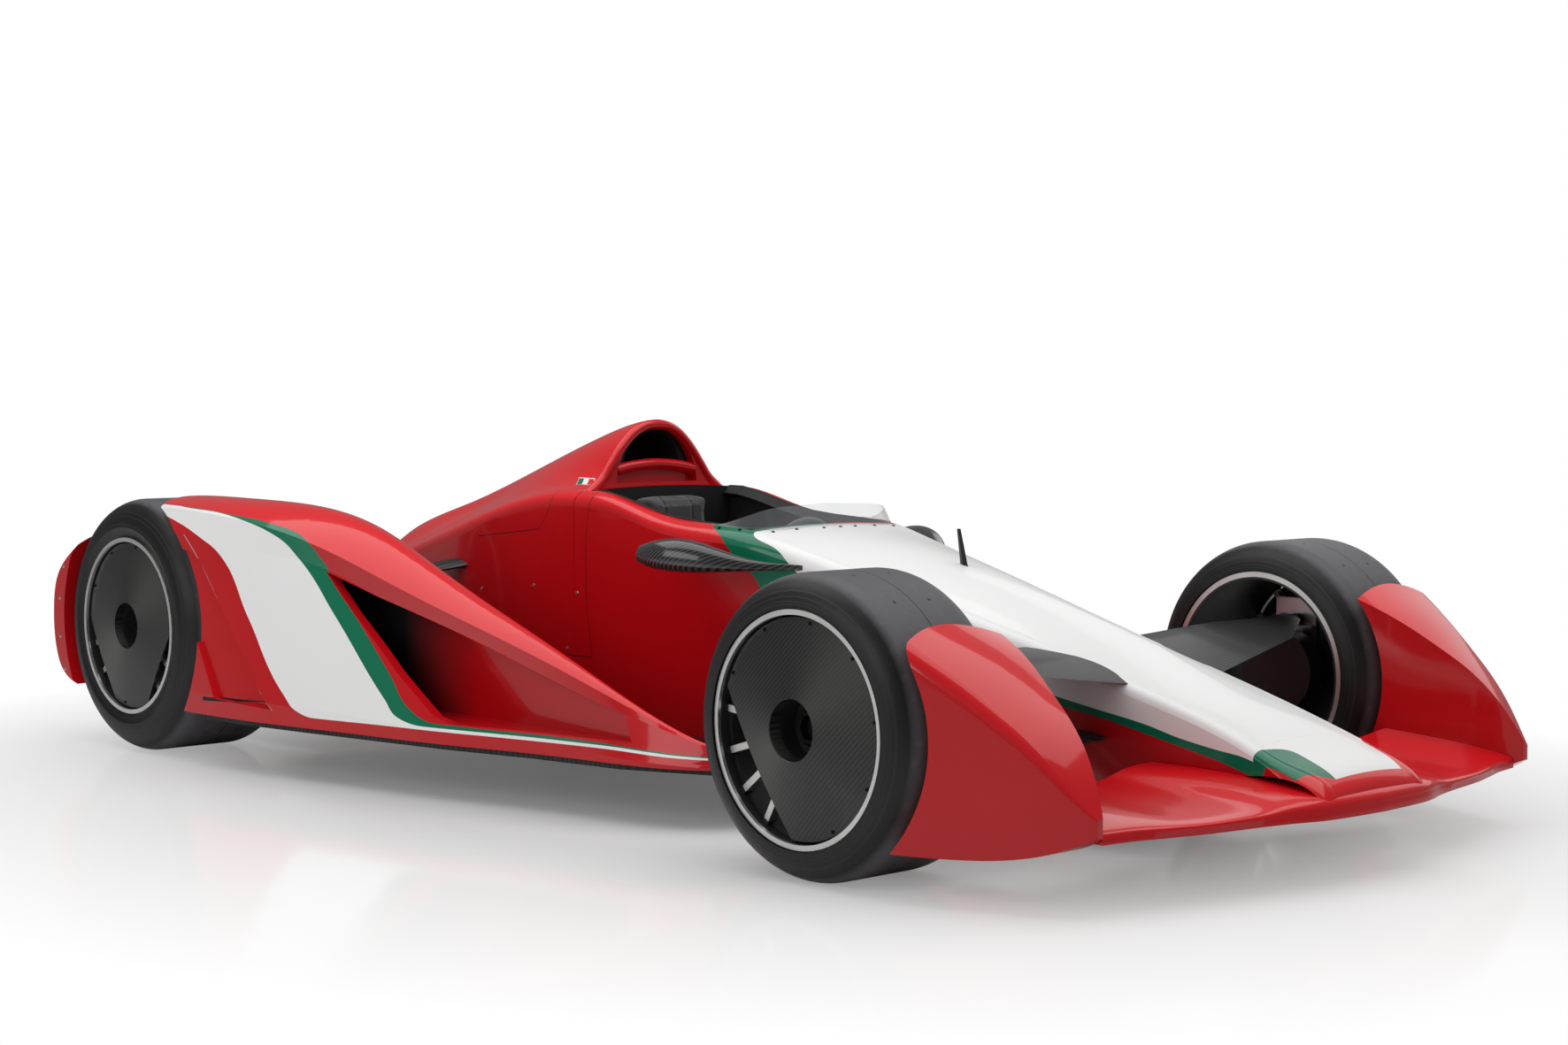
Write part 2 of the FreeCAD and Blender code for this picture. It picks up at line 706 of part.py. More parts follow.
def make_steering_wheel():
    """Steering wheel with its spoke, hub and column."""
    centre, axis = steering_frame()
    ring = Part.makeTorus(steering_radius - steering_grip, steering_grip, centre, axis)
    dash_x = along(cockpit_front_share) - dash_setback - dash_thickness / 2
    length = (dash_x - centre.x) / -axis.x
    column = Part.makeCylinder(steering_column_radius, length,
                               centre.sub(vec(axis.x, 0, axis.z).multiply(length)), axis)
    hub = Part.makeCylinder(steering_hub_radius, 2 * steering_grip,
                            centre.sub(vec(axis.x, 0, axis.z).multiply(steering_grip)), axis)
    reach = steering_radius - steering_grip
    spoke = box(-steering_grip / 2, steering_grip / 2, -reach, reach, -steering_hub_radius / 2,
                steering_hub_radius / 2)
    spoke.rotate(vec(0, 0, 0), vec(0, 1, 0), steering_tilt_deg)
    spoke.translate(centre)
    return ring.fuse([column, hub, spoke]).removeSplitter()


def make_dash(opening):
    """Bulkhead behind the cowl that carries the steering column."""
    centre, axis = steering_frame()
    front = along(cockpit_front_share)
    panel = box(front - dash_setback - dash_thickness, front - dash_setback, -body_half_width,
                body_half_width, up(dash_low_share), up(dash_top_share))
    hole = Part.makeCylinder(steering_column_radius + steering_gap, body_half_width,
                             centre.sub(vec(axis.x, 0, axis.z).multiply(body_half_width)), axis)
    return panel.common(opening).cut(hole)


def lens(x0, z0, x1, z1, y, thickness):
    """Streamlined section standing across Y, from its front to its rear edge."""
    front = vec(x0, y, z0)
    rear = vec(x1, y, z1)
    thick_x = x0 + (x1 - x0) * lens_peak_share
    thick_z = z0 + (z1 - z0) * lens_peak_share
    top = curve([front, vec(thick_x, y, thick_z + thickness / 2), rear])
    low = curve([rear, vec(thick_x, y, thick_z - thickness / 2), front])
    return Part.Wire([top, low])


def kingpin_y():
    """Distance of the kingpin from the centre line."""
    return front_wheel_y - knuckle_offset


def eye(z_low):
    """Eye of an arm round the left kingpin."""
    return Part.makeCylinder(eye_radius, eye_height, vec(front_axle_x, kingpin_y(), z_low))


def make_front_arms(nose):
    """Left front suspension: broad upper fairing and lower arm, each with its eye on the kingpin."""
    upper_z = front_tyre_radius + knuckle_half_height + eye_clearance
    lower_z = front_tyre_radius - knuckle_half_height - eye_clearance - eye_height
    middle = eye_height / 2
    tip_y = kingpin_y() - eye_radius / 2
    root_y = body_half_width * arm_root_share
    x0 = along(upper_arm_front_share)
    x1 = x0 - upper_arm_root_chord
    front_z = up(upper_arm_front_z_share)
    rear_z = up(upper_arm_rear_z_share)
    tip_z = upper_z + middle
    half_tip = upper_arm_tip_chord / 2
    bend = (upper_arm_bend_y - root_y) / (tip_y - root_y)
    bend_x = (x0 + x1) / 2 * (1 - bend) + front_axle_x * bend
    half_bend = upper_arm_bend_chord / 2
    upper = loft([
        lens(x0, front_z, x1, rear_z, root_y, arm_thickness),
        lens(bend_x + half_bend, front_z + (tip_z - front_z) * bend, bend_x - half_bend,
             rear_z + (tip_z - rear_z) * bend, upper_arm_bend_y, arm_thickness),
        lens(front_axle_x + half_tip, tip_z, front_axle_x - half_tip, tip_z, tip_y,
             eye_height - kingpin_gap),
    ], True)
    x2 = along(lower_arm_front_share)
    x3 = x2 - lower_arm_root_chord
    half_low = lower_arm_tip_chord / 2
    root_z = up(lower_arm_z_share)
    lower = loft([
        lens(x2, root_z, x3, root_z, root_y, arm_thickness),
        lens(front_axle_x + half_low, lower_z + middle, front_axle_x - half_low, lower_z + middle, tip_y,
             eye_height - kingpin_gap),
    ])
    pin = Part.makeCylinder(kingpin_radius + kingpin_gap, hoop_top_z,
                            vec(front_axle_x, kingpin_y(), ground_z))
    arms = []
    for arm, z in ((upper, upper_z), (lower, lower_z)):
        arms.append(arm.fuse(eye(z)).removeSplitter().cut(pin).cut(nose))
    return Part.makeCompound(arms)


def make_knuckle():
    """Left front knuckle: upright, kingpin ends, stub axle, caliper and cooling drum."""
    y = kingpin_y()
    z = front_tyre_radius
    half = knuckle_width / 2
    upright = box(front_axle_x - knuckle_depth / 2, front_axle_x + knuckle_depth / 2, y - half, y + half,
                  z - knuckle_half_height, z + knuckle_half_height)
    reach = knuckle_half_height + eye_clearance + eye_height
    pin = Part.makeCylinder(kingpin_radius, 2 * reach, vec(front_axle_x, y, z - reach))
    axle_end = hub_face_y(front_wheel_y, front_tyre_width) - hub_socket_depth - axle_end_gap
    axle = across(axle_radius, y, axle_end, front_axle_x, z)
    drum = across(drum_radius, y - half - drum_depth, y - half, front_axle_x + drum_offset, z)
    return upright.fuse([pin, axle, drum, make_caliper(y + half, z, front_wheel_y)]).removeSplitter()


def make_caliper(inner_y, z, wheel_y):
    """Brake caliper over the top of the disc, on a bracket below the upper arm's eye."""
    disc_y = wheel_y + brake_offset
    low = z + brake_radius - caliper_height
    start_y = inner_y + caliper_setback
    outer_y = disc_y + brake_thickness + caliper_gap + caliper_wall
    x0 = front_axle_x - caliper_length / 2
    x1 = front_axle_x + caliper_length / 2
    body = box(x0, x1, start_y, outer_y, low, z + brake_radius + caliper_gap + caliper_wall)
    bracket = box(x0, x1, inner_y - caliper_wall, disc_y, low - caliper_height, z + knuckle_half_height)
    slot = across(brake_radius + caliper_gap, disc_y - caliper_gap, disc_y + brake_thickness + caliper_gap,
                  front_axle_x, z)
    return body.fuse(bracket).cut(slot)


def ring_profile(points, x, z):
    """Solid of revolution about a wheel's axis, from (radius, y) points."""
    face = polygon([vec(x, y, z + radius) for radius, y in points])
    return face.revolve(vec(x, 0, z), vec(0, 1, 0), 360)


def make_tyre(x, radius, width, y, shoulder):
    """Slick tyre: flat tread, round shoulders, walls down to the rim."""
    z = radius
    bead = rim_flange_radius - rim_flange_lip
    half = width / 2
    corner = shoulder * math.sqrt(1 / 2)
    edges = []
    for side in (1, -1):
        tread = vec(x, y + side * (half - shoulder), z + radius)
        bend = vec(x, y + side * (half - shoulder + corner), z + radius - shoulder + corner)
        wall = vec(x, y + side * half, z + radius - shoulder)
        low = vec(x, y + side * (half - flange_inset), z + rim_flange_radius + rim_flange_lip / 2)
        foot = vec(x, y + side * (half - flange_inset), z + bead)
        edges.append(Part.Arc(tread, bend, wall).toShape())
        edges.append(line(wall, low))
        edges.append(line(low, foot))
    edges.append(line(vec(x, y + half - shoulder, z + radius), vec(x, y - half + shoulder, z + radius)))
    edges.append(line(vec(x, y + half - flange_inset, z + bead), vec(x, y - half + flange_inset, z + bead)))
    face = Part.Face(Part.Wire(Part.__sortEdges__(edges)))
    return face.revolve(vec(x, 0, z), vec(0, 1, 0), 360)


def hub_face_y(y, width):
    """Outer plane of a wheel's hub and spokes."""
    return y + width / 2 - flange_inset - cover_inset - cover_thickness - cover_back_gap


def make_rim(x, z, y, width):
    """Rim: barrel with both flanges, spokes, hub with its socket, and the brake disc on its bell."""
    outer = y + width / 2 - flange_inset
    inner = y - width / 2 + flange_inset
    bead = rim_flange_radius - rim_flange_lip - tyre_seat_gap
    bore = bead - rim_wall
    mouth = bead - rim_mouth_wall
    step_y = outer - rim_mouth_depth
    barrel = ring_profile([(bore, inner), (bead, inner), (bead, outer), (mouth, outer), (mouth, step_y),
                           (bore, step_y)], x, z)
    lips = []
    for face, step, inside in ((outer, flange_lip_width, mouth), (inner, -flange_lip_width, bore)):
        lips.append(ring_profile([(inside, face), (rim_flange_radius, face),
                                  (rim_flange_radius, face + step), (inside, face + step)], x, z))
    face_y = hub_face_y(y, width)
    hub_back = face_y - hub_depth
    disc_y = y + brake_offset
    hub = across(hub_radius, hub_back, face_y, x, z)
    bell = across(brake_hat_radius, disc_y, hub_back, x, z)
    disc = across(brake_radius, disc_y, disc_y + brake_thickness, x, z)
    spokes = []
    for index in range(spoke_count):
        spoke = box(x - spoke_width / 2, x + spoke_width / 2, face_y - spoke_depth, face_y,
                    z + hub_radius / 2, z + bead - rim_mouth_wall / 2)
        spoke.rotate(vec(x, 0, z), vec(0, 1, 0), 360 * index / spoke_count + spoke_turn_deg)
        spokes.append(spoke)
    rim = barrel.fuse(lips + [hub, bell, disc] + spokes).removeSplitter()
    axle_room = across(axle_radius + axle_gap, disc_y - cut_overrun, face_y, x, z)
    socket = across(hub_hole_radius, face_y - hub_socket_depth, face_y + cut_overrun, x, z)
    return rim.cut(axle_room).cut(socket)


def make_cover(x, z, y, width, rise, cuts):
    """Shallow cone over the spokes, with a round hole for the hub and cut edges that show the spokes."""
    edge = y + width / 2 - flange_inset - cover_inset
    back = edge - cover_thickness
    radius = rim_flange_radius - rim_flange_lip - tyre_seat_gap - rim_mouth_wall - cover_edge_gap
    hub_back = back + rise * (radius - hub_radius) / (radius - hub_hole_radius)
    cone = ring_profile([(radius, back), (radius, edge), (hub_hole_radius, edge + rise),
                         (hub_hole_radius, back - cover_back_gap), (hub_radius, back - cover_back_gap),
                         (hub_radius, hub_back)], x, z)
    for angle, depth in cuts:
        cutter = box(x - radius, x + radius, back - cut_overrun, edge + rise + cut_overrun, z - 2 * radius,
                     z - radius * (1 - depth))
        cutter.rotate(vec(x, 0, z), vec(0, 1, 0), angle)
        cone = cone.cut(cutter)
    return cone


def make_rear_upright():
    """Left rear upright with its stub axle."""
    y = rear_wheel_y - rear_upright_offset
    z = rear_tyre_radius
    half = knuckle_width / 2
    upright = box(rear_axle_x - knuckle_depth / 2, rear_axle_x + knuckle_depth / 2, y - half, y + half,
                  z - knuckle_half_height, z + knuckle_half_height)
    axle_end = hub_face_y(rear_wheel_y, rear_tyre_width) - hub_socket_depth - axle_end_gap
    axle = across(axle_radius, y, axle_end, rear_axle_x, z)
    caliper = make_caliper(y + half, z, rear_wheel_y).translated(vec(rear_axle_x - front_axle_x, 0, 0))
    return upright.fuse([axle, caliper]).removeSplitter()


def make_rear_arms(cover, upright):
    """Left rear suspension: upper arm, radius rod, lower arm and driveshaft."""
    y = rear_wheel_y - rear_upright_offset
    z = rear_tyre_radius
    top = z + knuckle_half_height - arm_thickness
    low = z - knuckle_half_height + arm_thickness
    chord = lower_arm_tip_chord
    root_y = body_half_width * rear_root_share
    half = chord / 2
    upper = loft([
        lens(rear_axle_x + half, top, rear_axle_x - half, top, root_y, arm_thickness),
        lens(rear_axle_x + half, top, rear_axle_x - half, top, y, arm_thickness),
    ])
    lower = loft([
        lens(rear_axle_x + chord, low, rear_axle_x - chord, low, root_y, arm_thickness),
        lens(rear_axle_x + half, low, rear_axle_x - half, low, y, arm_thickness),
    ])
    front = along(radius_rod_share)
    radius_rod = loft([
        lens(front, up(radius_rod_z_share), front - lower_arm_root_chord, up(radius_rod_z_share),
             body_half_width * radius_rod_root_share, arm_thickness),
        lens(rear_axle_x + knuckle_depth / 2 + chord, top - 2 * arm_thickness, rear_axle_x,
             top - 2 * arm_thickness, y - knuckle_width / 2, arm_thickness),
    ])
    shaft = across(driveshaft_radius, root_y, y, rear_axle_x, z)
    return Part.makeCompound([piece.cut(cover).cut(upright) for piece in (upper, lower, radius_rod, shaft)])


def mirror_section(place, half, height, wide, tall):
    """Round section of the mirror's body across X."""
    x = along(place)
    middle = vec(x, half * body_half_width, up(height))
    across_y = vec(0, wide * mirror_width, 0)
    tall_z = vec(0, 0, tall * mirror_height)
    points = [middle.add(across_y), middle.add(tall_z), middle.sub(across_y), middle.sub(tall_z)]
    spline = Part.BSplineCurve()
    spline.interpolate(points, True)
    return Part.Wire([spline.toShape()])


def make_mirror(body):
    """Left mirror: a teardrop on a stalk that grows out of the cockpit's side."""
    return loft([mirror_section(*row) for row in mirror_shares]).cut(body)


def make_pitot(body):
    """Small probe on the nose, leaning back."""
    x = along(pitot_share)
    low = surface_z(body, x, 0) - cut_overrun / 2
    top = low + cut_overrun / 2 + pitot_height
    sections = []
    for z, share, front in ((low, 1, x), (top, pitot_tip_share, x - pitot_lean)):
        chord = pitot_chord * share
        half = pitot_width * share / 2
        sections.append(Part.makePolygon([
            vec(front, 0, z), vec(front - chord / 2, half, z), vec(front - chord, 0, z),
            vec(front - chord / 2, -half, z), vec(front, 0, z),
        ]))
    return loft(sections).cut(body)


def export(name, shape):
    """Write one piece."""
    shape.exportStep("parts/" + name + ".step")


def export_pair(name, shape):
    """Write the left piece and its mirror image."""
    export(name + "_left", shape)
    export(name + "_right", mirrored(shape))


def export_wheels():
    """Tyre, rim and cover of the four wheels."""
    for end, x, radius, width, y, shoulder, rise, cuts in (
        ("front", front_axle_x, front_tyre_radius, front_tyre_width, front_wheel_y, front_shoulder_radius,
         front_cover_rise, front_cover_cuts),
        ("rear", rear_axle_x, rear_tyre_radius, rear_tyre_width, rear_wheel_y, rear_shoulder_radius,
         rear_cover_rise, rear_cover_cuts),
    ):
        export_pair("tyre_" + end, make_tyre(x, radius, width, y, shoulder))
        export_pair("rim_" + end, make_rim(x, radius, y, width))
        export_pair("cover_" + end, make_cover(x, radius, y, width, rise, cuts))


def main():
    """Build every piece and write it."""
    os.makedirs("parts", exist_ok=True)
    body = front_body()
    opening, well = cockpit_cavity()
    fender = make_front_fender()
    wing = make_front_wing(fender)
    nose = make_nose(body, wing)
    cover = make_engine_cover()
    guard = make_rear_guard()
    upright = make_rear_upright()
    export("nose", nose)
    export("cockpit_tub", make_tub(body, opening, well))
    export("engine_cover", cover)
    export("front_wing", wing)
    export_pair("front_fender", fender)
    export_pair("side_pod", make_pod())
    export("floor", make_floor())
    export("rear_deck", make_rear_deck(cover, guard))
    export_pair("rear_guard", guard)
    export("engine_block", engine_box(0))
    export("windscreen", make_windscreen(body))
    export("seat", make_seat())
    export("headrest", make_headrest())
    export("dash", make_dash(opening))
    export("steering_wheel", make_steering_wheel())
    export("pitot_probe", make_pitot(body))
    export_pair("mirror", make_mirror(body))
    export_pair("front_arms", make_front_arms(nose))
    export_pair("front_knuckle", make_knuckle())
    export_pair("rear_arms", make_rear_arms(cover, upright))
    export_pair("rear_upright", upright)
    export_wheels()


if __name__ == "__main__":
    main()
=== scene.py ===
import math

import bmesh
import bpy
from mathutils import Matrix, Vector


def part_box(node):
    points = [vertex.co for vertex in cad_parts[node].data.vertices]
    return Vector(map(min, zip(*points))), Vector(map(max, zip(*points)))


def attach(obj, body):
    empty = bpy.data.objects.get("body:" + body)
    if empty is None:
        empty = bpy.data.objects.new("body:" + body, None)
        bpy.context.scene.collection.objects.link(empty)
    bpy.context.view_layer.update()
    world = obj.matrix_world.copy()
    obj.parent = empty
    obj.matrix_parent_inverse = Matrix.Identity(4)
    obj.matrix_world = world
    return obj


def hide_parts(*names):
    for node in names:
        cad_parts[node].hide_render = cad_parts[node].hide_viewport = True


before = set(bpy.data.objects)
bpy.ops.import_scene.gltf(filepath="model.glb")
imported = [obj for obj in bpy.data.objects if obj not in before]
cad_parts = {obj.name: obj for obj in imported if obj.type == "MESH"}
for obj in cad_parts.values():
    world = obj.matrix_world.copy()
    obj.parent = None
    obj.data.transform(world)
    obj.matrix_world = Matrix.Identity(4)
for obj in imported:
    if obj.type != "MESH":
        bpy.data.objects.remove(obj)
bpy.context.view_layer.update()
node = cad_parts
bpy.context.view_layer.update()
sides = (("left", 1), ("right", -1))


# Nose and cockpit tub
# One long shell of composite, with clear lacquer over a gel coat and the colours. It is moulded in halves,
# bonded along the sills and carries the arms, the wing and the screen.

class Value:
    """Number, colour or direction at each point of a surface: the output of a shader node."""

    def __init__(self, socket):
        self.socket = socket
        self.tree = socket.id_data

    def __add__(self, other):
        return maths("ADD", self, other)

    def __sub__(self, other):
        return maths("SUBTRACT", self, other)

    def __rsub__(self, other):
        return maths("SUBTRACT", other, self)

    def __mul__(self, other):
        return maths("MULTIPLY", self, other)

    def __truediv__(self, other):
        return maths("DIVIDE", self, other)

    def __pow__(self, other):
        return maths("POWER", self, other)

    def __abs__(self):
        return maths("ABSOLUTE", self)


def feed(sockets, values):
    """Give sockets, by name or number, the values, numbers and colours listed for them."""
    for name, value in values.items():
        if isinstance(value, Value):
            value.tree.links.new(value.socket, sockets[name])
        else:
            sockets[name].default_value = (*value, 1) if isinstance(value, tuple) else value


def maths(operation, *values):
    """Math node fed with values and numbers."""
    tree = next(value.tree for value in values if isinstance(value, Value))
    step = tree.nodes.new("ShaderNodeMath")
    step.operation = operation
    feed(step.inputs, dict(enumerate(values)))
    return Value(step.outputs[0])


def clamped(value):
    """The value held between 0 and 1."""
    value.socket.node.use_clamp = True
    return value


def place(tree, kind="Object"):
    """X, Y and Z of the point on the piece; of the surface's own direction where the kind is Normal."""
    split = tree.nodes.new("ShaderNodeSeparateXYZ")
    feed(split.inputs, {0: Value(tree.nodes.new("ShaderNodeTexCoord").outputs[kind])})
    return [Value(output) for output in split.outputs]


def line_height(along, points):
    """Height of a drawn line over the place along it."""
    first, last = points[0][0], points[-1][0]
    low = min(height for _, height in points)
    high = max(height for _, height in points)
    drawn = along.tree.nodes.new("ShaderNodeFloatCurve")
    bend = drawn.mapping.curves[0]
    spots = [((x - first) / (last - first), (height - low) / (high - low)) for x, height in points]
    bend.points[0].location = spots[0]
    bend.points[1].location = spots[-1]
    for spot in spots[1:-1]:
        bend.points.new(*spot)
    for point in bend.points:
        point.handle_type = "AUTO_CLAMPED"
    drawn.mapping.update()
    feed(drawn.inputs, {"Value": (along - first) / (last - first)})
    return Value(drawn.outputs[0]) * (high - low) + low


def over(value, limit, blur=0.0006):
    """1 where the value is over the limit, with a lacquer-thin soft edge."""
    return clamped((value - limit) / blur + 0.5)


def within(value, low, high):
    """1 where the value lies between two limits."""
    return over(value, low) * over(high, value)


def either(first, *others):
    """1 where any of the masks is 1."""
    for other in others:
        first = maths("MAXIMUM", first, other)
    return first


def gap_line(value, line, half=0.0013):
    """Thin line where the value meets the drawn line."""
    return over(half, abs(value - line))


def tinted(share, first, second):
    """Colour between two colours."""
    mix = share.tree.nodes.new("ShaderNodeMix")
    mix.data_type = "RGBA"
    feed(mix.inputs, {0: share, 6: first, 7: second})
    return Value(mix.outputs[2])


def shaded(colour, share):
    """The colour made darker or lighter."""
    return tuple(part * share for part in colour)


def noise(tree, scale, detail=2.0):
    """Soft random cloud at a scale, in waves a metre."""
    cloud = tree.nodes.new("ShaderNodeTexNoise")
    where = Value(tree.nodes.new("ShaderNodeTexCoord").outputs["Object"])
    feed(cloud.inputs, {"Vector": where, "Scale": scale, "Detail": detail})
    return Value(cloud.outputs["Fac"])


def relief(height, strength, distance):
    """Direction of a surface with fine relief."""
    bump = height.tree.nodes.new("ShaderNodeBump")
    feed(bump.inputs, {"Strength": strength, "Distance": distance, "Height": height})
    return Value(bump.outputs["Normal"])


def new_material(name):
    """Material and its node tree."""
    material = bpy.data.materials.new(name)
    material.use_nodes = True
    return material, material.node_tree


def finish(tree, values):
    """Feed the material's Principled shader by input name."""
    feed(tree.nodes["Principled BSDF"].inputs, values)


def wear(material, *names):
    """Give nodes of the frame one material."""
    for name in names:
        node[name].data.materials.clear()
        node[name].data.materials.append(material)


def new_group(name, takes, gives):
    """Node group with its inputs as values and its output sockets; all are numbers but Colour."""
    group = bpy.data.node_groups.new(name, "ShaderNodeTree")
    for label in takes:
        group.interface.new_socket(label, in_out="INPUT", socket_type="NodeSocketFloat")
    for label in gives:
        kind = "NodeSocketColor" if label == "Colour" else "NodeSocketFloat"
        group.interface.new_socket(label, in_out="OUTPUT", socket_type=kind)
    start = group.nodes.new("NodeGroupInput")
    end = group.nodes.new("NodeGroupOutput")
    return group, [Value(start.outputs[label]) for label in takes], end.inputs


def grouped(tree, group, values):
    """Outputs by name of a node group fed by input name."""
    step = tree.nodes.new("ShaderNodeGroup")
    step.node_tree = group
    feed(step.inputs, values)
    return {output.name: Value(output) for output in step.outputs}


def lacquer_group(masks):
    """Red, white and green paint from masks, dark bare inside (painted shade in the pods' ducts) and shut
    lines, with a sprayed coat's cloud; the red holds painted shade, darker on faces turned to the side.
    """
    group, values, end = new_group("Lacquer", masks, ("Colour", "Roughness", "Coat", "Height"))
    white, green, dark, line = values
    cloud = noise(group, 3.0, 3.0)
    nx, ny, nz = place(group, "Normal")
    # Painted shade: the red is darker on faces turned to the side and lighter on faces turned up, as if lit
    # from above.
    red = tinted(clamped(nz * 1.3 + 0.1), (0.4, 0.002, 0.005), (0.64, 0.005, 0.01))
    colour = tinted(cloud * 0.12, red, (0.7, 0.006, 0.012))
    colour = tinted(white, colour, (0.77, 0.77, 0.767))
    colour = tinted(green, colour, (0.001, 0.15, 0.075))
    colour = tinted(dark, colour, (0.014, 0.014, 0.015))
    feed(end, {
        "Colour": tinted(line, colour, (0.03, 0.004, 0.005)),
        "Roughness": dark * 0.28 + (cloud * 0.05 + 0.3),
        "Coat": dark * -0.55 + (white * -0.3 + 0.65),
        "Height": noise(group, 260.0, 1.0) * 0.04 - line,
    })
    return group


paint_masks = ("White", "Green", "Dark", "Line")
lacquer = lacquer_group(paint_masks)


def painted(name, draw):
    """Lacquered material; draw(tree) returns the masks of white, green, dark and shut lines."""
    material, tree = new_material(name)
    coat = grouped(tree, lacquer, dict(zip(paint_masks, draw(tree))))
    finish(tree, {
        "Base Color": coat["Colour"],
        "Roughness": coat["Roughness"],
        "Coat Weight": coat["Coat"],
        "Coat Roughness": 0.07,
        "Specular IOR Level": 0.15,
        "Normal": relief(coat["Height"], 0.5, 0.0008),
    })
    return material


tip_rear = 1.936
tip_end = 2.103
tip_right = -0.206
nose_green_low = ((0.1, 1.2), (0.176, 0.752), (0.196, 0.738), (0.244, 0.719), (0.324, 0.65), (0.381, 0.608),
                  (0.402, 0.58), (0.48, 0.528), (0.62, 0.478), (0.85, 0.43), (1.12, 0.384), (1.342, 0.344),
                  (1.517, 0.318), (1.62, 0.297), (1.72, 0.277), (1.823, 0.257), (1.936, 0.23), (2.105, 0.2))
nose_white_low = ((0.1, 1.4), (0.325, 0.79), (0.345, 0.728), (0.458, 0.679), (0.526, 0.624), (0.62, 0.57),
                  (0.76, 0.51), (0.92, 0.46), (1.12, 0.408), (1.342, 0.365), (1.458, 0.345), (1.62, 0.319),
                  (1.72, 0.296), (1.823, 0.28), (1.92, 0.268), (2.105, 0.2))
tip_near = ((tip_rear, -0.201), (1.996, -0.107), (tip_end, -0.119))
tip_far = ((1.96, 0.205), (1.975, 0.173), (2.019, 0.167), (tip_end, 0.141))
tip_front = ((-0.208, 2.055), (-0.119, tip_end))
panel_foot = 0.339
panel_front = -0.304
panel_rear = -0.423
shut_line = ((panel_foot, panel_front), (0.604, -0.329), (0.732, -0.318), (0.81, -0.303), (0.9, -0.296))
cavity_half = 0.2685
cavity_front = 0.322
cavity_rear = -0.3575
well_half = 0.1705
well_front = 0.751
well_top = 0.456
tub_floor = 0.194


def shut_lines(x, z):
    """Edge of the removable panel beside the cockpit: up, and back along its foot."""
    rising = gap_line(x, line_height(z, shut_line)) * over(z, panel_foot)
    return either(rising, gap_line(z, panel_foot) * within(x, panel_rear, panel_front))


def draw_nose(tree):
    """White top between two lines, a green band on the right only, a narrower white panel at the tip."""
    x, y, z = place(tree)
    near = line_height(x, tip_near)
    tip = over(x, tip_rear)
    panel = over(y, near) * over(line_height(x, tip_far), y) * over(tip_end, x)
    patch = over(near, y) * over(y, tip_right) * over(line_height(y, tip_front), x)
    white = either((1 - tip) * over(z, line_height(x, nose_white_low)), tip * panel)
    band = over(z, line_height(x, nose_green_low)) * over(0.0, y) * (1 - tip) * (1 - white)
    cavity = over(cavity_half, abs(y)) * within(x, cavity_rear, cavity_front)
    well = over(well_half, abs(y)) * within(x, cavity_front, well_front) * over(well_top, z)
    return white, either(band, tip * patch), either(cavity, well) * over(z, tub_floor), shut_lines(x, z)


wear(painted("Nose paint", draw_nose), "nose", "cockpit_tub")


# Engine cover
# Composite moulding that lifts off over the engine. Its front edge is the rounded lip of the roll hoop, with
# the air intake behind it; a lower panel is cut out of each flank and held by quarter turn fasteners.

hoop_face = -0.4095
intake_base = 0.89
intake_top = 0.989
intake_half = 0.1085
intake_rear = -0.585
intake_lean = 0.235
cover_panel = ((-0.883, 0.664), (-0.554, 0.699))
cover_riser = ((0.699, -0.554), (0.769, -0.5), (0.812, -0.493))
flag_low = 0.8285
flag_high = 0.8475
flag_rear = -0.49
flag_length = 0.084
flag_lean = 1.1
flag_border = 0.0022
skin_depth = 0.001


def draw_cover(tree):
    """Red, dark inside the intake, with shut lines and a small tricolour on each flank."""
    x, y, z = place(tree)
    nx, ny, nz = place(tree, "Normal")
    level = z - (x - hoop_face) * intake_lean
    rise = (level - intake_base) / (intake_top - intake_base)
    mouth = over(1.06, (y / intake_half) ** 2.0 + rise ** 2.0, 0.01)
    mouth = mouth * within(x, intake_rear, hoop_face) * over(level, intake_base - skin_depth)
    wall = within(x, hoop_face - skin_depth, hoop_face + skin_depth) * over(nx, 0.9) * over(z, intake_base)
    panel = gap_line(z, line_height(x, cover_panel)) * within(x, cover_panel[0][0], cover_panel[-1][0])
    riser = gap_line(x, line_height(z, cover_riser)) * within(z, cover_riser[0][0], cover_riser[-1][0])
    third = ((z - flag_low) * flag_lean + x - flag_rear) / flag_length
    flank = over(abs(ny), 0.5, 0.05)
    plate = flank * within(z, flag_low, flag_high) * within(third, 0.0, 1.0)
    border = flank * within(z, flag_low - flag_border, flag_high + flag_border) * within(third, -0.03, 1.03)
    white = either(plate * within(third, 0.333, 0.667), border * (1 - plate))
    return white, plate * over(0.333, third), either(mouth, wall), either(shut_lines(x, z), panel, riser)


wear(painted("Cover paint", draw_cover), "engine_cover")


# Front wing, fenders, guards, deck
# Separate composite mouldings in plain red lacquer, bolted to the nose, the floor and each other.

red_paint = painted("Red paint", lambda tree: (0.0, 0.0, 0.0, 0.0))
wear(red_paint, "front_fender_left", "front_fender_right", "rear_guard_left", "rear_guard_right", "rear_deck")


def net(shape, rows, closed=True, capped=True):
    """Faces between rows of corners; each row closes on itself and both ends are capped, unless told."""
    for one, two in zip(rows, rows[1:]):
        for index in range(len(one) if closed else len(one) - 1):
            after = (index + 1) % len(one)
            shape.faces.new((one[index], one[after], two[after], two[index]))
    if capped:
        shape.faces.new(rows[0])
        shape.faces.new(rows[-1])


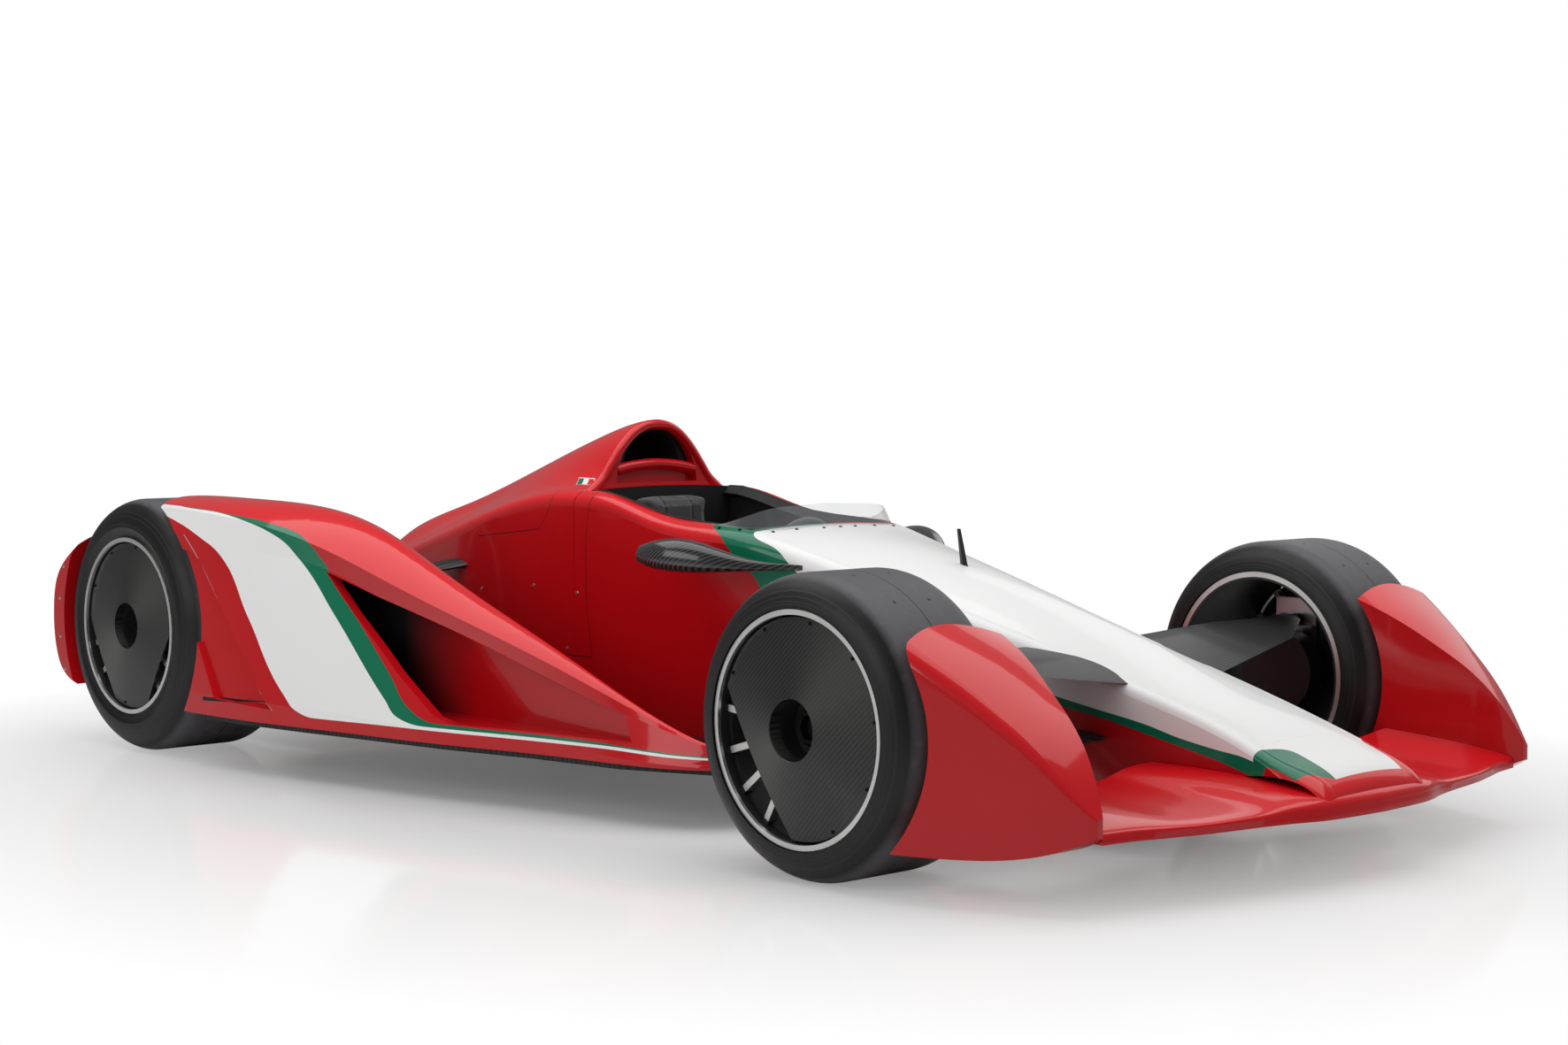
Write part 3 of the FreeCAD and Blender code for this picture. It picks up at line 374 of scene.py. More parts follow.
def settled(name, shape, material, body, angle=35):
    """Piece from a bmesh with its material, riding on a body."""
    bmesh.ops.recalc_face_normals(shape, faces=shape.faces)
    mesh = bpy.data.meshes.new(name)
    shape.to_mesh(mesh)
    shape.free()
    mesh.shade_smooth()
    mesh.set_sharp_from_angle(angle=math.radians(angle))
    mesh.materials.append(material)
    piece = bpy.data.objects.new(name, mesh)
    bpy.context.scene.collection.objects.link(piece)
    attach(piece, body)
    return piece


def smooth_between(rows, steps):
    """More rows of numbers, on smooth curves through the given ones."""
    fine = []
    for index in range(len(rows) - 1):
        before = rows[max(index - 1, 0)]
        start, end = rows[index], rows[index + 1]
        after = rows[min(index + 2, len(rows) - 1)]
        for step in range(steps):
            t = step / steps
            row = []
            for a, b, c, d in zip(before, start, end, after):
                rise = (c - a) / 2
                fall = (d - b) / 2
                row.append(b + t * rise + t * t * (3 * (c - b) - 2 * rise - fall)
                           + t * t * t * (2 * (b - c) + rise + fall))
            fine.append(row)
    return fine + [list(rows[-1])]


# Half width, leading and trailing edge, then height behind the lip, at mid chord and at the trailing edge
wing_rows = ((0.0, 2.155, 1.639, 0.2072, 0.229, 0.2333), (0.12, 2.149, 1.639, 0.2068, 0.229, 0.2333),
             (0.21, 2.138, 1.639, 0.204, 0.228, 0.2325), (0.294, 2.112, 1.639, 0.197, 0.219, 0.226),
             (0.378, 2.093, 1.645, 0.186, 0.2, 0.211), (0.525, 2.066, 1.68, 0.1811, 0.194, 0.2124),
             (0.63, 2.038, 1.686, 0.1828, 0.202, 0.2263), (0.714, 2.013, 1.686, 0.1846, 0.2089, 0.2345),
             (0.805, 1.998, 1.686, 0.1846, 0.2107, 0.235))
wing_low = 0.155
wing_lip = 0.17
lip_share = 0.06
middle_share = 0.45


def wing_section(row):
    """Points round the wing's section, from the lower front edge over the top to the lower rear edge."""
    y, front, rear, lip_top, middle, rear_top = row
    chord = front - rear
    top = smooth_between(((front, wing_lip), (front - lip_share * chord, lip_top),
                          (front - middle_share * chord, middle), (rear, rear_top)), 6)
    return [(front, y, wing_low)] + [(x, y, z) for x, z in top] + [(rear, y, wing_low)]


shape = bmesh.new()
half = smooth_between(wing_rows, 6)
rows = [[-row[0]] + row[1:] for row in reversed(half[1:])] + half
net(shape, [[shape.verts.new(spot) for spot in wing_section(row)] for row in rows])
wing_skin = settled("wing_skin", shape, red_paint, "chassis", 32)
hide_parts("front_wing")


def circle(corners):
    """Cosine and sine of each corner's turn."""
    turns = [2 * math.pi * index / corners for index in range(corners)]
    return [(math.cos(turn), math.sin(turn)) for turn in turns]


def tube(name, path, radius):
    """Red lacquered bar along a smooth path, with closed ends."""
    path = [Vector(spot) for spot in smooth_between(path, 8)]
    shape = bmesh.new()
    rings = []
    for index, spot in enumerate(path):
        ahead = path[min(index + 1, len(path) - 1)] - path[max(index - 1, 0)]
        turn = ahead.to_track_quat("Z", "Y").to_matrix()
        rings.append([shape.verts.new(spot + turn @ Vector((radius * across, radius * up, 0)))
                      for across, up in circle(20)])
    for one, two in zip(rings, rings[1:]):
        near = min(range(len(two)), key=lambda corner: (two[corner].co - one[0].co).length)
        net(shape, (one, two[near:] + two[:near]), capped=False)
    shape.faces.new(rings[0])
    shape.faces.new(rings[-1])
    settled(name, shape, red_paint, "chassis", 50)


hoop_front = -0.39
hoop_bead_radius = 0.015
hoop_shelf_radius = 0.017
hoop_shelf_back = 0.008
bead = ((-0.264, 0.799), (-0.237, 0.82), (-0.203, 0.848), (-0.171, 0.89), (-0.133, 0.938),
        (-0.09, 0.978), (-0.045, 1.0), (0.0, 1.0048))
shelf = ((-0.148, 0.872), (-0.105, 0.88), (-0.05, 0.886), (0.0, 0.888))
for name, line, x, radius in (("hoop_bead", bead, hoop_front, hoop_bead_radius),
                              ("hoop_shelf", shelf, hoop_front - hoop_shelf_back, hoop_shelf_radius)):
    tube(name, [(x, y, z) for y, z in line] + [(x, -y, z) for y, z in reversed(line[:-1])], radius)


# Side pods
# Composite mouldings with a rising blade over the air duct. The outer panel is white with a green front edge.

pod_white_low = ((-1.54, 0.75), (-1.36, 0.712), (-1.243, 0.673), (-1.162, 0.637), (-1.008, 0.455),
                 (-0.831, 0.241), (-0.758, 0.194), (-0.704, 0.186), (-0.328, 0.189), (0.097, 0.189),
                 (0.343, 0.19), (0.592, 0.182), (0.7, 0.18))
pod_green_low = ((-1.39, 0.761), (-1.12, 0.742), (-0.913, 0.695), (-0.803, 0.624), (-0.649, 0.471),
                 (-0.429, 0.258), (-0.361, 0.211), (-0.262, 0.198), (0.343, 0.198), (0.592, 0.188),
                 (0.7, 0.184))
pod_green_high = ((-1.39, 0.7615), (-1.345, 0.7605), (-1.13, 0.746), (-0.966, 0.729), (-0.808, 0.696),
                  (-0.715, 0.63), (-0.668, 0.564), (-0.58, 0.482), (-0.424, 0.331), (-0.303, 0.227),
                  (-0.242, 0.21), (-0.142, 0.208), (0.343, 0.204), (0.592, 0.192), (0.7, 0.187))
inset_crease = ((-1.33, 0.68), (-1.259, 0.617), (-1.106, 0.44), (-0.927, 0.233), (-0.877, 0.192))
crease_rear = -1.33
crease_front = -0.88
slot_rear = -1.215
slot_front = -0.925
slot_low = ((slot_rear, 0.196), (slot_front, 0.211))
slot_high = ((slot_rear, 0.208), (slot_front, 0.2135))
duct_wall = 0.765
duct_wall_inner = 0.757
duct_front = 0.43
duct_rear = -0.86
duct_floor = 0.2
shade_front = -0.42


def draw_pod(tree):
    """White panel above one line and below another, green from there to the duct's edge; painted shade in the
    duct, on its inner wall and in a slot at the foot, and a painted highlight along the inset's crease.
    """
    x, y, z = place(tree)
    nx, ny, nz = place(tree, "Normal")
    outward = ny * maths("SIGN", y)
    past_wall = over(abs(y), duct_wall)
    skin = over(outward, 0.3, 0.02) * either(past_wall, over(x, duct_front), over(duct_rear, x))
    white_low = over(z, line_height(x, pod_white_low))
    green_low = over(z, line_height(x, pod_green_low))
    band = skin * (1 - over(z, line_height(x, pod_green_high)))
    # Painted shade: the duct's inner faces are painted dark.
    inside = past_wall * within(x, duct_rear, duct_front) * over(z, duct_floor)
    inside = inside * over(0.3, outward, 0.02) * over(0.35, nz, 0.02)
    # Painted shade: the duct's inner wall, darker towards the rear.
    deep = within(abs(y), duct_wall_inner, duct_wall) * over(outward, 0.9) * over(shade_front, x, 0.35)
    # Painted shade: a dark slot at the pod's foot, drawn on a flat face.
    slot = skin * within(x, slot_rear, slot_front)
    slot = slot * over(z, line_height(x, slot_low)) * over(line_height(x, slot_high), z)
    # Painted highlight: a light line along the inset's crease, as on an edge catching the light.
    crease_highlight = skin * gap_line(z, line_height(x, inset_crease), 0.0022)
    crease_highlight = crease_highlight * within(x, crease_rear, crease_front) * (1 - white_low)
    white = either(band * white_low * (1 - green_low), crease_highlight * 0.35)
    return white, band * green_low, either(inside, deep, slot), 0.0


wear(painted("Pod paint", draw_pod), "side_pod_left", "side_pod_right")


# Fasteners on the body
# Quarter turn fasteners of stainless steel with a socket, flush in the panels they hold.

def turned(name, profile, spots, material, body="chassis", corners=24):
    """Small turned pieces: an outline of radius and height swept round each spot's own direction."""
    shape = bmesh.new()
    for spot, direction in spots:
        turn = Vector(direction).to_track_quat("Z", "Y").to_matrix()
        net(shape, [[shape.verts.new(Vector(spot) + turn @ Vector((radius * across, radius * up, height)))
                     for across, up in circle(corners)] for radius, height in profile])
    settled(name, shape, material, body)


def on_skin(name, start, direction):
    """Point and direction of a node's surface, met from a starting point."""
    hit, spot, normal, face = node[name].ray_cast(Vector(start), Vector(direction))
    return spot, normal


def metal(name, colour, rough, scale=90.0):
    """Machined metal with fine scratches and small changes of polish."""
    material, tree = new_material(name)
    grain = noise(tree, scale, 4.0)
    finish(tree, {
        "Base Color": tinted(noise(tree, 12.0, 3.0), shaded(colour, 0.75), colour),
        "Roughness": grain * 0.18 + rough,
        "Metallic": 1.0,
        "Normal": relief(grain, 0.15, 0.0003),
    })
    return material


steel = metal("Stainless steel", (0.62, 0.61, 0.6), 0.18)
latch_profile = ((0.0065, -0.002), (0.0065, 0.0004), (0.0056, 0.001), (0.0036, 0.0012), (0.0032, -0.0006),
                 (0.0001, -0.0006))
latch_spots = (("engine_cover", -0.582, 0.531), ("engine_cover", -0.859, 0.506),
               ("engine_cover", -0.419, 0.357), ("cockpit_tub", -0.372, 0.521))
guard_centre_x = -1.655
guard_centre_z = 0.3875
guard_bolt_radius = 0.437
beside = 1.5
latches = []
guard_bolts = []
for side, sign in reversed(sides):
    for name, x, z in latch_spots:
        latches.append(on_skin(name, (x, sign * beside, z), (0, -sign, 0)))
    for angle in (158, 172, 188, 202):
        x = guard_centre_x + guard_bolt_radius * math.cos(math.radians(angle))
        z = guard_centre_z - guard_bolt_radius * math.sin(math.radians(angle - 180))
        guard_bolts.append(on_skin("rear_guard_" + side, (x, sign * beside, z), (0, -sign, 0)))
turned("latches", latch_profile, latches, steel)
turned("guard_bolts", latch_profile, guard_bolts, steel)


# Carbon pieces
# Twill cloth of black carbon tows in clear resin, laid up in moulds: floor, arms, mirrors, covers, probe.

def twill_group():
    """Twill weave: which tow lies on top, and how high it stands."""
    group, (across, down, tow), end = new_group("Twill weave", ("Across", "Down", "Tow"), ("Top", "Height"))
    u = across / tow
    v = down / tow
    step = maths("FLOOR", u) - maths("FLOOR", v)
    top = maths("LESS_THAN", maths("FLOORED_MODULO", step, 4.0), 1.5)
    round_u, round_v = (maths("SINE", maths("FRACT", count) * math.pi) for count in (u, v))
    feed(end, {"Top": top, "Height": round_u * top + round_v * (1.0 - top)})
    return group


twill = twill_group()


def carbon(name, across, down, tow, dark, light, rough, gloss):
    """Lacquered carbon cloth; across and down are 0 to 2 for X to Z, or 3 for Z leaning into Y."""
    material, tree = new_material(name)
    x, y, z = place(tree)
    axes = (x, y, z, y * 0.4 + z)
    cloth = grouped(tree, twill, {"Across": axes[across], "Down": axes[down], "Tow": tow})
    finish(tree, {
        "Base Color": tinted(cloth["Height"] * cloth["Top"], dark, light),
        "Roughness": noise(tree, 8.0) * 0.08 + (rough - 0.04),
        "Coat Weight": gloss,
        "Coat Roughness": 0.1,
        "Specular IOR Level": 0.25,
        "Normal": relief(cloth["Height"], 0.15, 0.0003),
    })
    return material


resin_dark = (0.006, 0.006, 0.007)
carbon_flat = carbon("Carbon flat", 0, 1, 0.006, (0.005, 0.005, 0.006), (0.056, 0.056, 0.059), 0.42, 0.12)
carbon_side = carbon("Carbon side", 0, 3, 0.0032, resin_dark, (0.075, 0.075, 0.078), 0.26, 0.9)
carbon_cross = carbon("Carbon cross", 1, 2, 0.003, resin_dark, (0.04, 0.04, 0.042), 0.35, 0.3)
wear(carbon("Carbon floor", 0, 1, 0.0035, resin_dark, (0.026, 0.026, 0.027), 0.45, 0.1), "floor")
wear(carbon_flat, "front_arms_left", "front_arms_right", "rear_arms_left", "rear_arms_right")
wear(carbon_side, "mirror_left", "mirror_right")
wear(carbon_cross, "dash")
wear(carbon("Carbon probe", 0, 2, 0.0015, (0.005, 0.005, 0.005), (0.012, 0.012, 0.012), 0.35, 0.2),
     "pitot_probe")


# Uprights, calipers and drums
# Upright and caliper are milled from one piece of aluminium alloy; the cooling drum is black composite.

drum_edge = 0.7995


def part_metal(name, bright, rough, draw):
    """Bare alloy, black where the mask that draw(tree) returns is 1."""
    material, tree = new_material(name)
    black = draw(tree)
    grain = noise(tree, 120.0, 4.0)
    worn = tinted(noise(tree, 14.0, 3.0), shaded(bright, 0.72), bright)
    finish(tree, {
        "Base Color": tinted(black, worn, (0.012, 0.012, 0.013)),
        "Metallic": 1 - black,
        "Roughness": grain * 0.06 + (black * 0.12 + rough),
        "Normal": relief(grain, 0.04, 0.0002),
    })
    return material


wear(part_metal("Knuckle metal", (0.56, 0.56, 0.57), 0.26, lambda tree: over(drum_edge, abs(place(tree)[1]))),
     "front_knuckle_left", "front_knuckle_right")
wear(metal("Upright metal", (0.3, 0.29, 0.28), 0.4, 120.0), "rear_upright_left", "rear_upright_right")

cast_block, tree = new_material("Cast block")
finish(tree, {
    "Base Color": tinted(noise(tree, 6.0, 4.0), (0.1, 0.1, 0.105), (0.2, 0.2, 0.205)),
    "Metallic": 0.8,
    "Roughness": 0.5,
    "Normal": relief(noise(tree, 400.0, 3.0), 0.4, 0.0006),
})
wear(cast_block, "engine_block")


# Wheels
# Forged rims, black inside with a bright turned lip and bare spokes, a black hub socket with its centre nut.

lip_radius = 0.256
lip_width = 0.0135
hub_radius = 0.0865
spoke_radius = 0.2475
spoke_depth = 0.055
tread_round = 0.012
hole_count = 16
hole_offset = 0.055


tyre_box = {end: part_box("tyre_" + end + "_left") for end in ("front", "rear")}


def distance(across, up):
    """Distance from a middle that both values start from."""
    return maths("SQRT", across * across + up * up)


def from_axle(tree, end):
    """Distance from a wheel's axle, turn round it and distance from the car's middle."""
    x, y, z = place(tree)
    low, high = tyre_box[end]
    across, up = x - (low.x + high.x) / 2, z - (low.z + high.z) / 2
    return distance(across, up), maths("ARCTAN2", up, across), abs(y)


def rim_metal(end):
    """Rim: bright at the lips and the spokes, black in the barrel, on the hub and on the disc."""
    inner, outer = (corner.y for corner in tyre_box[end])

    def draw(tree):
        radius, turn, off = from_axle(tree, end)
        lip = over(radius, lip_radius) * either(over(off, outer - lip_width), over(inner + lip_width, off))
        return 1 - either(lip, within(radius, hub_radius, spoke_radius) * over(off, outer - spoke_depth))

    return part_metal("Rim " + end, (0.88, 0.87, 0.86), 0.36, draw)


def rubber(end):
    """Slick tyre: matt tread, lighter than the side wall partly as a painted sheen, with a mould seam, small
    wear holes and scuffs, fine rings on the side wall.
    """
    low, high = tyre_box[end]
    tyre_radius = (high.x - low.x) / 2
    material, tree = new_material("Rubber " + end)
    radius, turn, off = from_axle(tree, end)
    off = off - (low.y + high.y) / 2
    tread = over(radius, tyre_radius - tread_round, tread_round)
    ring_lines = (0.281, 0.287, 0.312, tyre_radius - 0.052, tyre_radius - 0.04)
    ring = either(*[gap_line(radius, line, 0.0009) for line in ring_lines]) * (1 - tread)
    seam = gap_line(off, 0.0, 0.0017) * tread
    hole_pitch = 2 * math.pi / hole_count
    along = (maths("FRACT", turn / hole_pitch) - 0.5) * (hole_pitch * tyre_radius)
    hole = over(0.0048, distance(along, abs(off) - hole_offset)) * tread
    scuff = noise(tree, 38.0, 5.0)
    # The tread is lighter than the side wall: partly the matt rubber's own colour, partly a painted sheen of
    # the lamps at a grazing angle.
    colour = tinted(tread, (0.006, 0.006, 0.006), (0.086, 0.086, 0.093))
    colour = tinted(over(scuff, 0.6, 0.1) * tread * 0.5, colour, (0.11, 0.108, 0.11))
    colour = tinted(either(hole, seam), colour, (0.01, 0.01, 0.01))
    height = noise(tree, 700.0, 2.0) * 0.1 + ring * 0.7 - either(hole, seam * 0.6)
    finish(tree, {
        "Base Color": tinted(ring * 0.6, colour, (0.022, 0.022, 0.023)),
        "Roughness": scuff * 0.16 + (tread * 0.08 + 0.36),
        "Specular IOR Level": 0.35,
        "Normal": relief(height, 0.6, 0.001),
    })
    return material


def carbon_with_painted_reflection(end):
    """Wheel cover cloth with a painted reflection: two opposite lighter sectors painted round the axle, as
    light falls on the shallow cone.
    """
    material = carbon("Carbon disc " + end, 0, 2, 0.0034, (0.01, 0.01, 0.01), (0.03, 0.03, 0.029), 0.36, 0.3)
    tree = material.node_tree
    radius, turn, off = from_axle(tree, end)
    # Painted reflection: lighter sectors round the axle.
    painted_reflection_lobe = (maths("COSINE", turn * 2.0 - 1.4) * 0.5 + 0.5) ** 3.0
    cloth = Value(tree.nodes["Principled BSDF"].inputs["Base Color"].links[0].from_socket)
    finish(tree, {"Base Color": tinted(painted_reflection_lobe * 0.45, cloth, (0.085, 0.084, 0.08))})
    return material


disc_cloth = {"front": carbon_with_painted_reflection("front"), "rear": carbon_with_painted_reflection("rear")}
wear(disc_cloth["rear"], "cover_rear_left", "cover_rear_right")

cover_radius = 0.2527
cover_hole = 0.07
cover_inset = 0.018
cover_rise = 0.026
cover_cut = 0.62
cover_cut_turn = math.radians(213)


def front_cover(side, sign):
    """Shallow carbon cone over the front spokes, rolled at its edges and cut off on one side."""
    low, high = tyre_box["front"]
    centre = (low + high) / 2
    edge = high.y - cover_inset
    top = edge + cover_rise
    slope = cover_rise / (cover_radius - cover_hole)
    profile = [(cover_hole, edge - 0.01), (cover_hole, top - 0.0015), (cover_hole + 0.0015, top)]
    profile += [(radius, edge + slope * (cover_radius - radius))
                for radius in (0.1, 0.14, 0.18, 0.22, 0.2475)]
    profile += [(0.2515, edge), (cover_radius, edge - 0.0012), (cover_radius, edge - 0.005),
                (0.248, edge - 0.006), (cover_hole + 0.004, top - 0.006), (cover_hole + 0.003, edge - 0.01)]
    shape = bmesh.new()
    rings = [[shape.verts.new((centre.x + radius * across, sign * y, centre.z + radius * up))
              for radius, y in profile] for across, up in circle(120)]
    net(shape, rings + rings[:1], capped=False)
    outward = Vector((math.cos(cover_cut_turn), 0, math.sin(cover_cut_turn)))
    chord = Vector((centre.x, 0, centre.z)) + outward * (cover_radius * cover_cut)
    cut = bmesh.ops.bisect_plane(shape, geom=shape.verts[:] + shape.edges[:] + shape.faces[:], plane_co=chord,
                                 plane_no=outward, clear_outer=True)
    rim = [part for part in cut["geom_cut"] if isinstance(part, bmesh.types.BMEdge)]
    bmesh.ops.contextual_create(shape, geom=rim)
    piece = settled("front_cover_" + side, shape, disc_cloth["front"], "wheel_front_" + side, 30)
    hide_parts("cover_front_" + side)


for side, sign in sides:
    front_cover(side, sign)

nut_black, tree = new_material("Nut black")
finish(tree, {
    "Base Color": tinted(noise(tree, 90.0, 3.0), (0.003, 0.003, 0.003), (0.006, 0.006, 0.006)),
    "Roughness": noise(tree, 300.0, 3.0) * 0.2 + 0.45,
    "Specular IOR Level": 0.15,
})
nut_profile = ((0.052, 0.0), (0.052, 0.004), (0.044, 0.006), (0.044, 0.02), (0.04, 0.023), (0.032, 0.023),
               (0.031, 0.004), (0.0001, 0.004))
bolt_profile = ((0.0045, -0.001), (0.0045, 0.002), (0.0038, 0.0026), (0.0022, 0.0026), (0.0021, 0.0008),
                (0.0001, 0.0008))
bolt_circle = 0.243
bolt_room = 0.03
nut_inset = 0.073
for end, rise, cuts in (("front", cover_rise, ((cover_cut_turn, cover_cut),)),
                        ("rear", 0.016, ((math.radians(212), 0.82), (math.radians(328), 0.82)))):
    metal_of_rim = rim_metal(end)
    skin_of_tyre = rubber(end)
    low, high = tyre_box[end]
    centre = (low + high) / 2
    face = high.y - cover_inset + rise * (cover_radius - bolt_circle) / (cover_radius - cover_hole)
    angles = [math.radians(36 * index + 9) for index in range(10)]
    bolt_spots = [(bolt_circle * math.cos(angle), bolt_circle * math.sin(angle)) for angle in angles
                  if all(math.cos(angle - turn) < reach - bolt_room for turn, reach in cuts)]
    for side, sign in sides:
        label = end + "_" + side
        body = "wheel_" + label
        outward = (0, sign, 0)
        wear(metal_of_rim, "rim_" + label)
        wear(skin_of_tyre, "tyre_" + label)
        nut = [((centre.x, sign * (high.y - nut_inset), centre.z), outward)]
        turned("nut_" + label, nut_profile, nut, nut_black, body, 6)
        bolts = [((centre.x + across, sign * face, centre.z + up), outward) for across, up in bolt_spots]
        turned("cover_bolts_" + label, bolt_profile, bolts, nut_black, body, 16)


# Mirrors
# Teardrop shells of carbon with a domed glass let into the flat back.

glass, tree = new_material("Mirror glass")
finish(tree, {"Base Color": (0.78, 0.8, 0.82), "Metallic": 1.0, "Roughness": noise(tree, 60.0) * 0.03 + 0.02})
glass_y = 0.4686
glass_z = 0.6666
glass_half = 0.0405
glass_rise = 0.0235
for side, sign in sides:
    low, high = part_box("mirror_" + side)
    shape = bmesh.new()
    net(shape, [[shape.verts.new((low.x - step, sign * glass_y + glass_half * share * across,
                                  glass_z + glass_rise * share * up)) for across, up in circle(40)]
                for share, step in ((1.0, 0.0), (0.97, 0.0015), (0.5, 0.0028))])
    settled("mirror_glass_" + side, shape, glass, "chassis")


# Windscreen
# Clear polycarbonate bent round the cockpit's front, with a polished edge and small screws along its foot.

clear, tree = new_material("Clear screen")
# Painted reflection: the screen is pale grey and turns more opaque where it is seen edge-on.
edge = tree.nodes.new("ShaderNodeLayerWeight")
feed(edge.inputs, {"Blend": 0.35})
finish(tree, {
    "Base Color": tinted(noise(tree, 5.0), (0.36, 0.38, 0.4), (0.44, 0.46, 0.48)),
    "Roughness": noise(tree, 90.0, 4.0) * 0.05 + 0.02,
    "Alpha": Value(edge.outputs["Facing"]) ** 2.0 * 0.55 + 0.1,
})
wear(clear, "windscreen")

above = 1.4
screw_spots = [(0.395, 0.0)]
for x, y in ((0.392, 0.06), (0.378, 0.15), (0.372, 0.232), (0.3, 0.288), (0.23, 0.3)):
    screw_spots += [(x, -y), (x, y)]
screws = [on_skin("cockpit_tub", (x, y, above), (0, 0, -1)) for x, y in screw_spots]
turned("screen_screws", bolt_profile, screws, nut_black, corners=16)


# Seat, headrest and harness
# A black seat cover sewn over foam in channels, a padded headrest, and a harness of woven webbing with a
# steel buckle. The covers are blown out by cloth simulation from a slightly smaller shape.

def swell(piece, voxel, pressure, cap):
    """Fill a sewn cover: a fine closed skin, blown out a little and no further than the cap."""
    scene = bpy.context.scene
    skin = piece.modifiers.new("Skin", "REMESH")
    skin.mode = "VOXEL"
    skin.voxel_size = voxel
    graph = bpy.context.evaluated_depsgraph_get()
    piece.data = bpy.data.meshes.new_from_object(piece.evaluated_get(graph))
    piece.modifiers.clear()
    rest = [vertex.co.copy() for vertex in piece.data.vertices]
    cover = piece.modifiers.new("Cover", "CLOTH")
    cover.settings.use_pressure = True
    cover.settings.uniform_pressure_force = pressure
    cover.settings.effector_weights.gravity = 0.0
    cover.point_cache.frame_end = 20
    for step in range(1, 21):
        scene.frame_set(step)
    graph = bpy.context.evaluated_depsgraph_get()
    blown = bpy.data.meshes.new_from_object(piece.evaluated_get(graph))
    piece.modifiers.clear()
    scene.frame_set(1)
    for vertex, start in zip(blown.vertices, rest):
        moved = vertex.co - start
        if moved.length > cap:
            vertex.co = start + moved * (cap / moved.length)
    piece.data = blown
    piece.data.shade_smooth()


def woven(name, colour, thread=0.0009, rough=0.85):
    """Plain woven cloth with a fine weave and a little fading."""
    material, tree = new_material(name)
    x, y, z = place(tree)
    cloth = grouped(tree, twill, {"Across": y, "Down": x + z, "Tow": thread})
    finish(tree, {
        "Base Color": tinted(noise(tree, 7.0, 4.0), colour, shaded(colour, 1.8)),
        "Roughness": rough,
        "Sheen Weight": 0.3,
        "Normal": relief(cloth["Height"], 0.6, 0.0004),
    })
    return material


low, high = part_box("seat")
seat_recline = 0.15
seat_wall = 0.018
shrink = 0.003
seat_face = ((high.x, low.z + 0.036), (low.x + seat_recline + 0.12, low.z + 0.044),
             (low.x + seat_recline + 0.036, low.z + 0.056), (low.x + 0.115, low.z + 0.205),
             (low.x + 0.066, low.z + 0.34), (low.x + 0.018, high.z))
seat_back = ((high.x, low.z), (low.x + seat_recline + 0.1, low.z), (low.x + seat_recline, low.z),
             (low.x + 0.087, low.z + 0.194), (low.x + 0.042, low.z + 0.328), (low.x, high.z - seat_wall))


def seat_shape(half, columns=14):
    """Closed shell between the seat's face and back, sunk in the middle between side bolsters."""
    shape = bmesh.new()
    faces, backs = [], []
    for (face_x, face_z), (back_x, back_z) in zip(seat_face, seat_back):
        line_face, line_back = [], []
        for index in range(columns + 1):
            y = half * (2 * index / columns - 1)
            sink = 0.28 * max(0.0, 1 - (y / (half * 0.68)) ** 4) + 0.02
            line_face.append(shape.verts.new((face_x + (back_x - face_x) * sink, y,
                                              face_z + (back_z - face_z) * sink - shrink)))
            line_back.append(shape.verts.new((back_x, y, back_z + shrink / 2)))
        faces.append(line_face)
        backs.append(line_back)
    net(shape, faces, False, False)
    net(shape, backs, False, False)
    for side in (0, columns):
        net(shape, [[row[side] for row in faces], [row[side] for row in backs]], False, False)
    for end in (0, -1):
        net(shape, (faces[end], backs[end]), False, False)
    return shape


channel_pitch = 0.058
channel_depth = 0.0035
channel_half = 0.118
cushion_top = 0.075
seat_fold = 0.16
seat_cloth = woven("Cushion cloth", (0.012, 0.012, 0.013))
seat_pad = settled("seat_pad", seat_shape(high.y - shrink), seat_cloth, "chassis", 60)
swell(seat_pad, 0.006, 4.0, 0.004)
for vertex in seat_pad.data.vertices:
    spot = vertex.co
    bend = low.z + cushion_top
    along = spot.z if spot.z > bend else bend - (spot.x - low.x - seat_fold)
    channel = abs((along / channel_pitch) % 1.0 - 0.5) * 2
    inward = max(0.0, 1 - (spot.y / channel_half) ** 8)
    if vertex.normal.x + vertex.normal.z > 0.6:
        vertex.co = spot - vertex.normal * (channel_depth * (channel ** 10) * inward)
seat_pad.modifiers.new("Fine", "SUBSURF").levels = 1
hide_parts("seat")

seam_offset = 0.052
seam_width = 0.0035
seam_depth = 0.004
low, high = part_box("headrest")
shape = bmesh.new()
bmesh.ops.create_cube(shape, size=1.0)
bmesh.ops.scale(shape, vec=high - low - Vector((2, 2, 2)) * shrink, verts=shape.verts)
bmesh.ops.translate(shape, vec=(low + high) / 2, verts=shape.verts)
bmesh.ops.bevel(shape, geom=shape.edges[:], offset=0.018, segments=4, affect="EDGES", profile=0.6)
rest_cloth = woven("Rest cloth", (0.016, 0.016, 0.017), 0.0007, 0.75)
headrest_pad = settled("headrest_pad", shape, rest_cloth, "chassis", 60)
swell(headrest_pad, 0.004, 4.0, 0.005)
for vertex in headrest_pad.data.vertices:
    spot = vertex.co
    if vertex.normal.x > 0.3:
        seam = math.exp(-((abs(spot.y) - seam_offset) / seam_width) ** 2)
        vertex.co = spot - vertex.normal * (seam_depth * seam)
headrest_pad.modifiers.new("Fine", "SUBSURF").levels = 1
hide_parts("headrest")

webbing = woven("Harness webbing", (0.018, 0.018, 0.019), 0.0016, 0.7)
strap_width = 0.046
strap_thickness = 0.0022
low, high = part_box("seat")


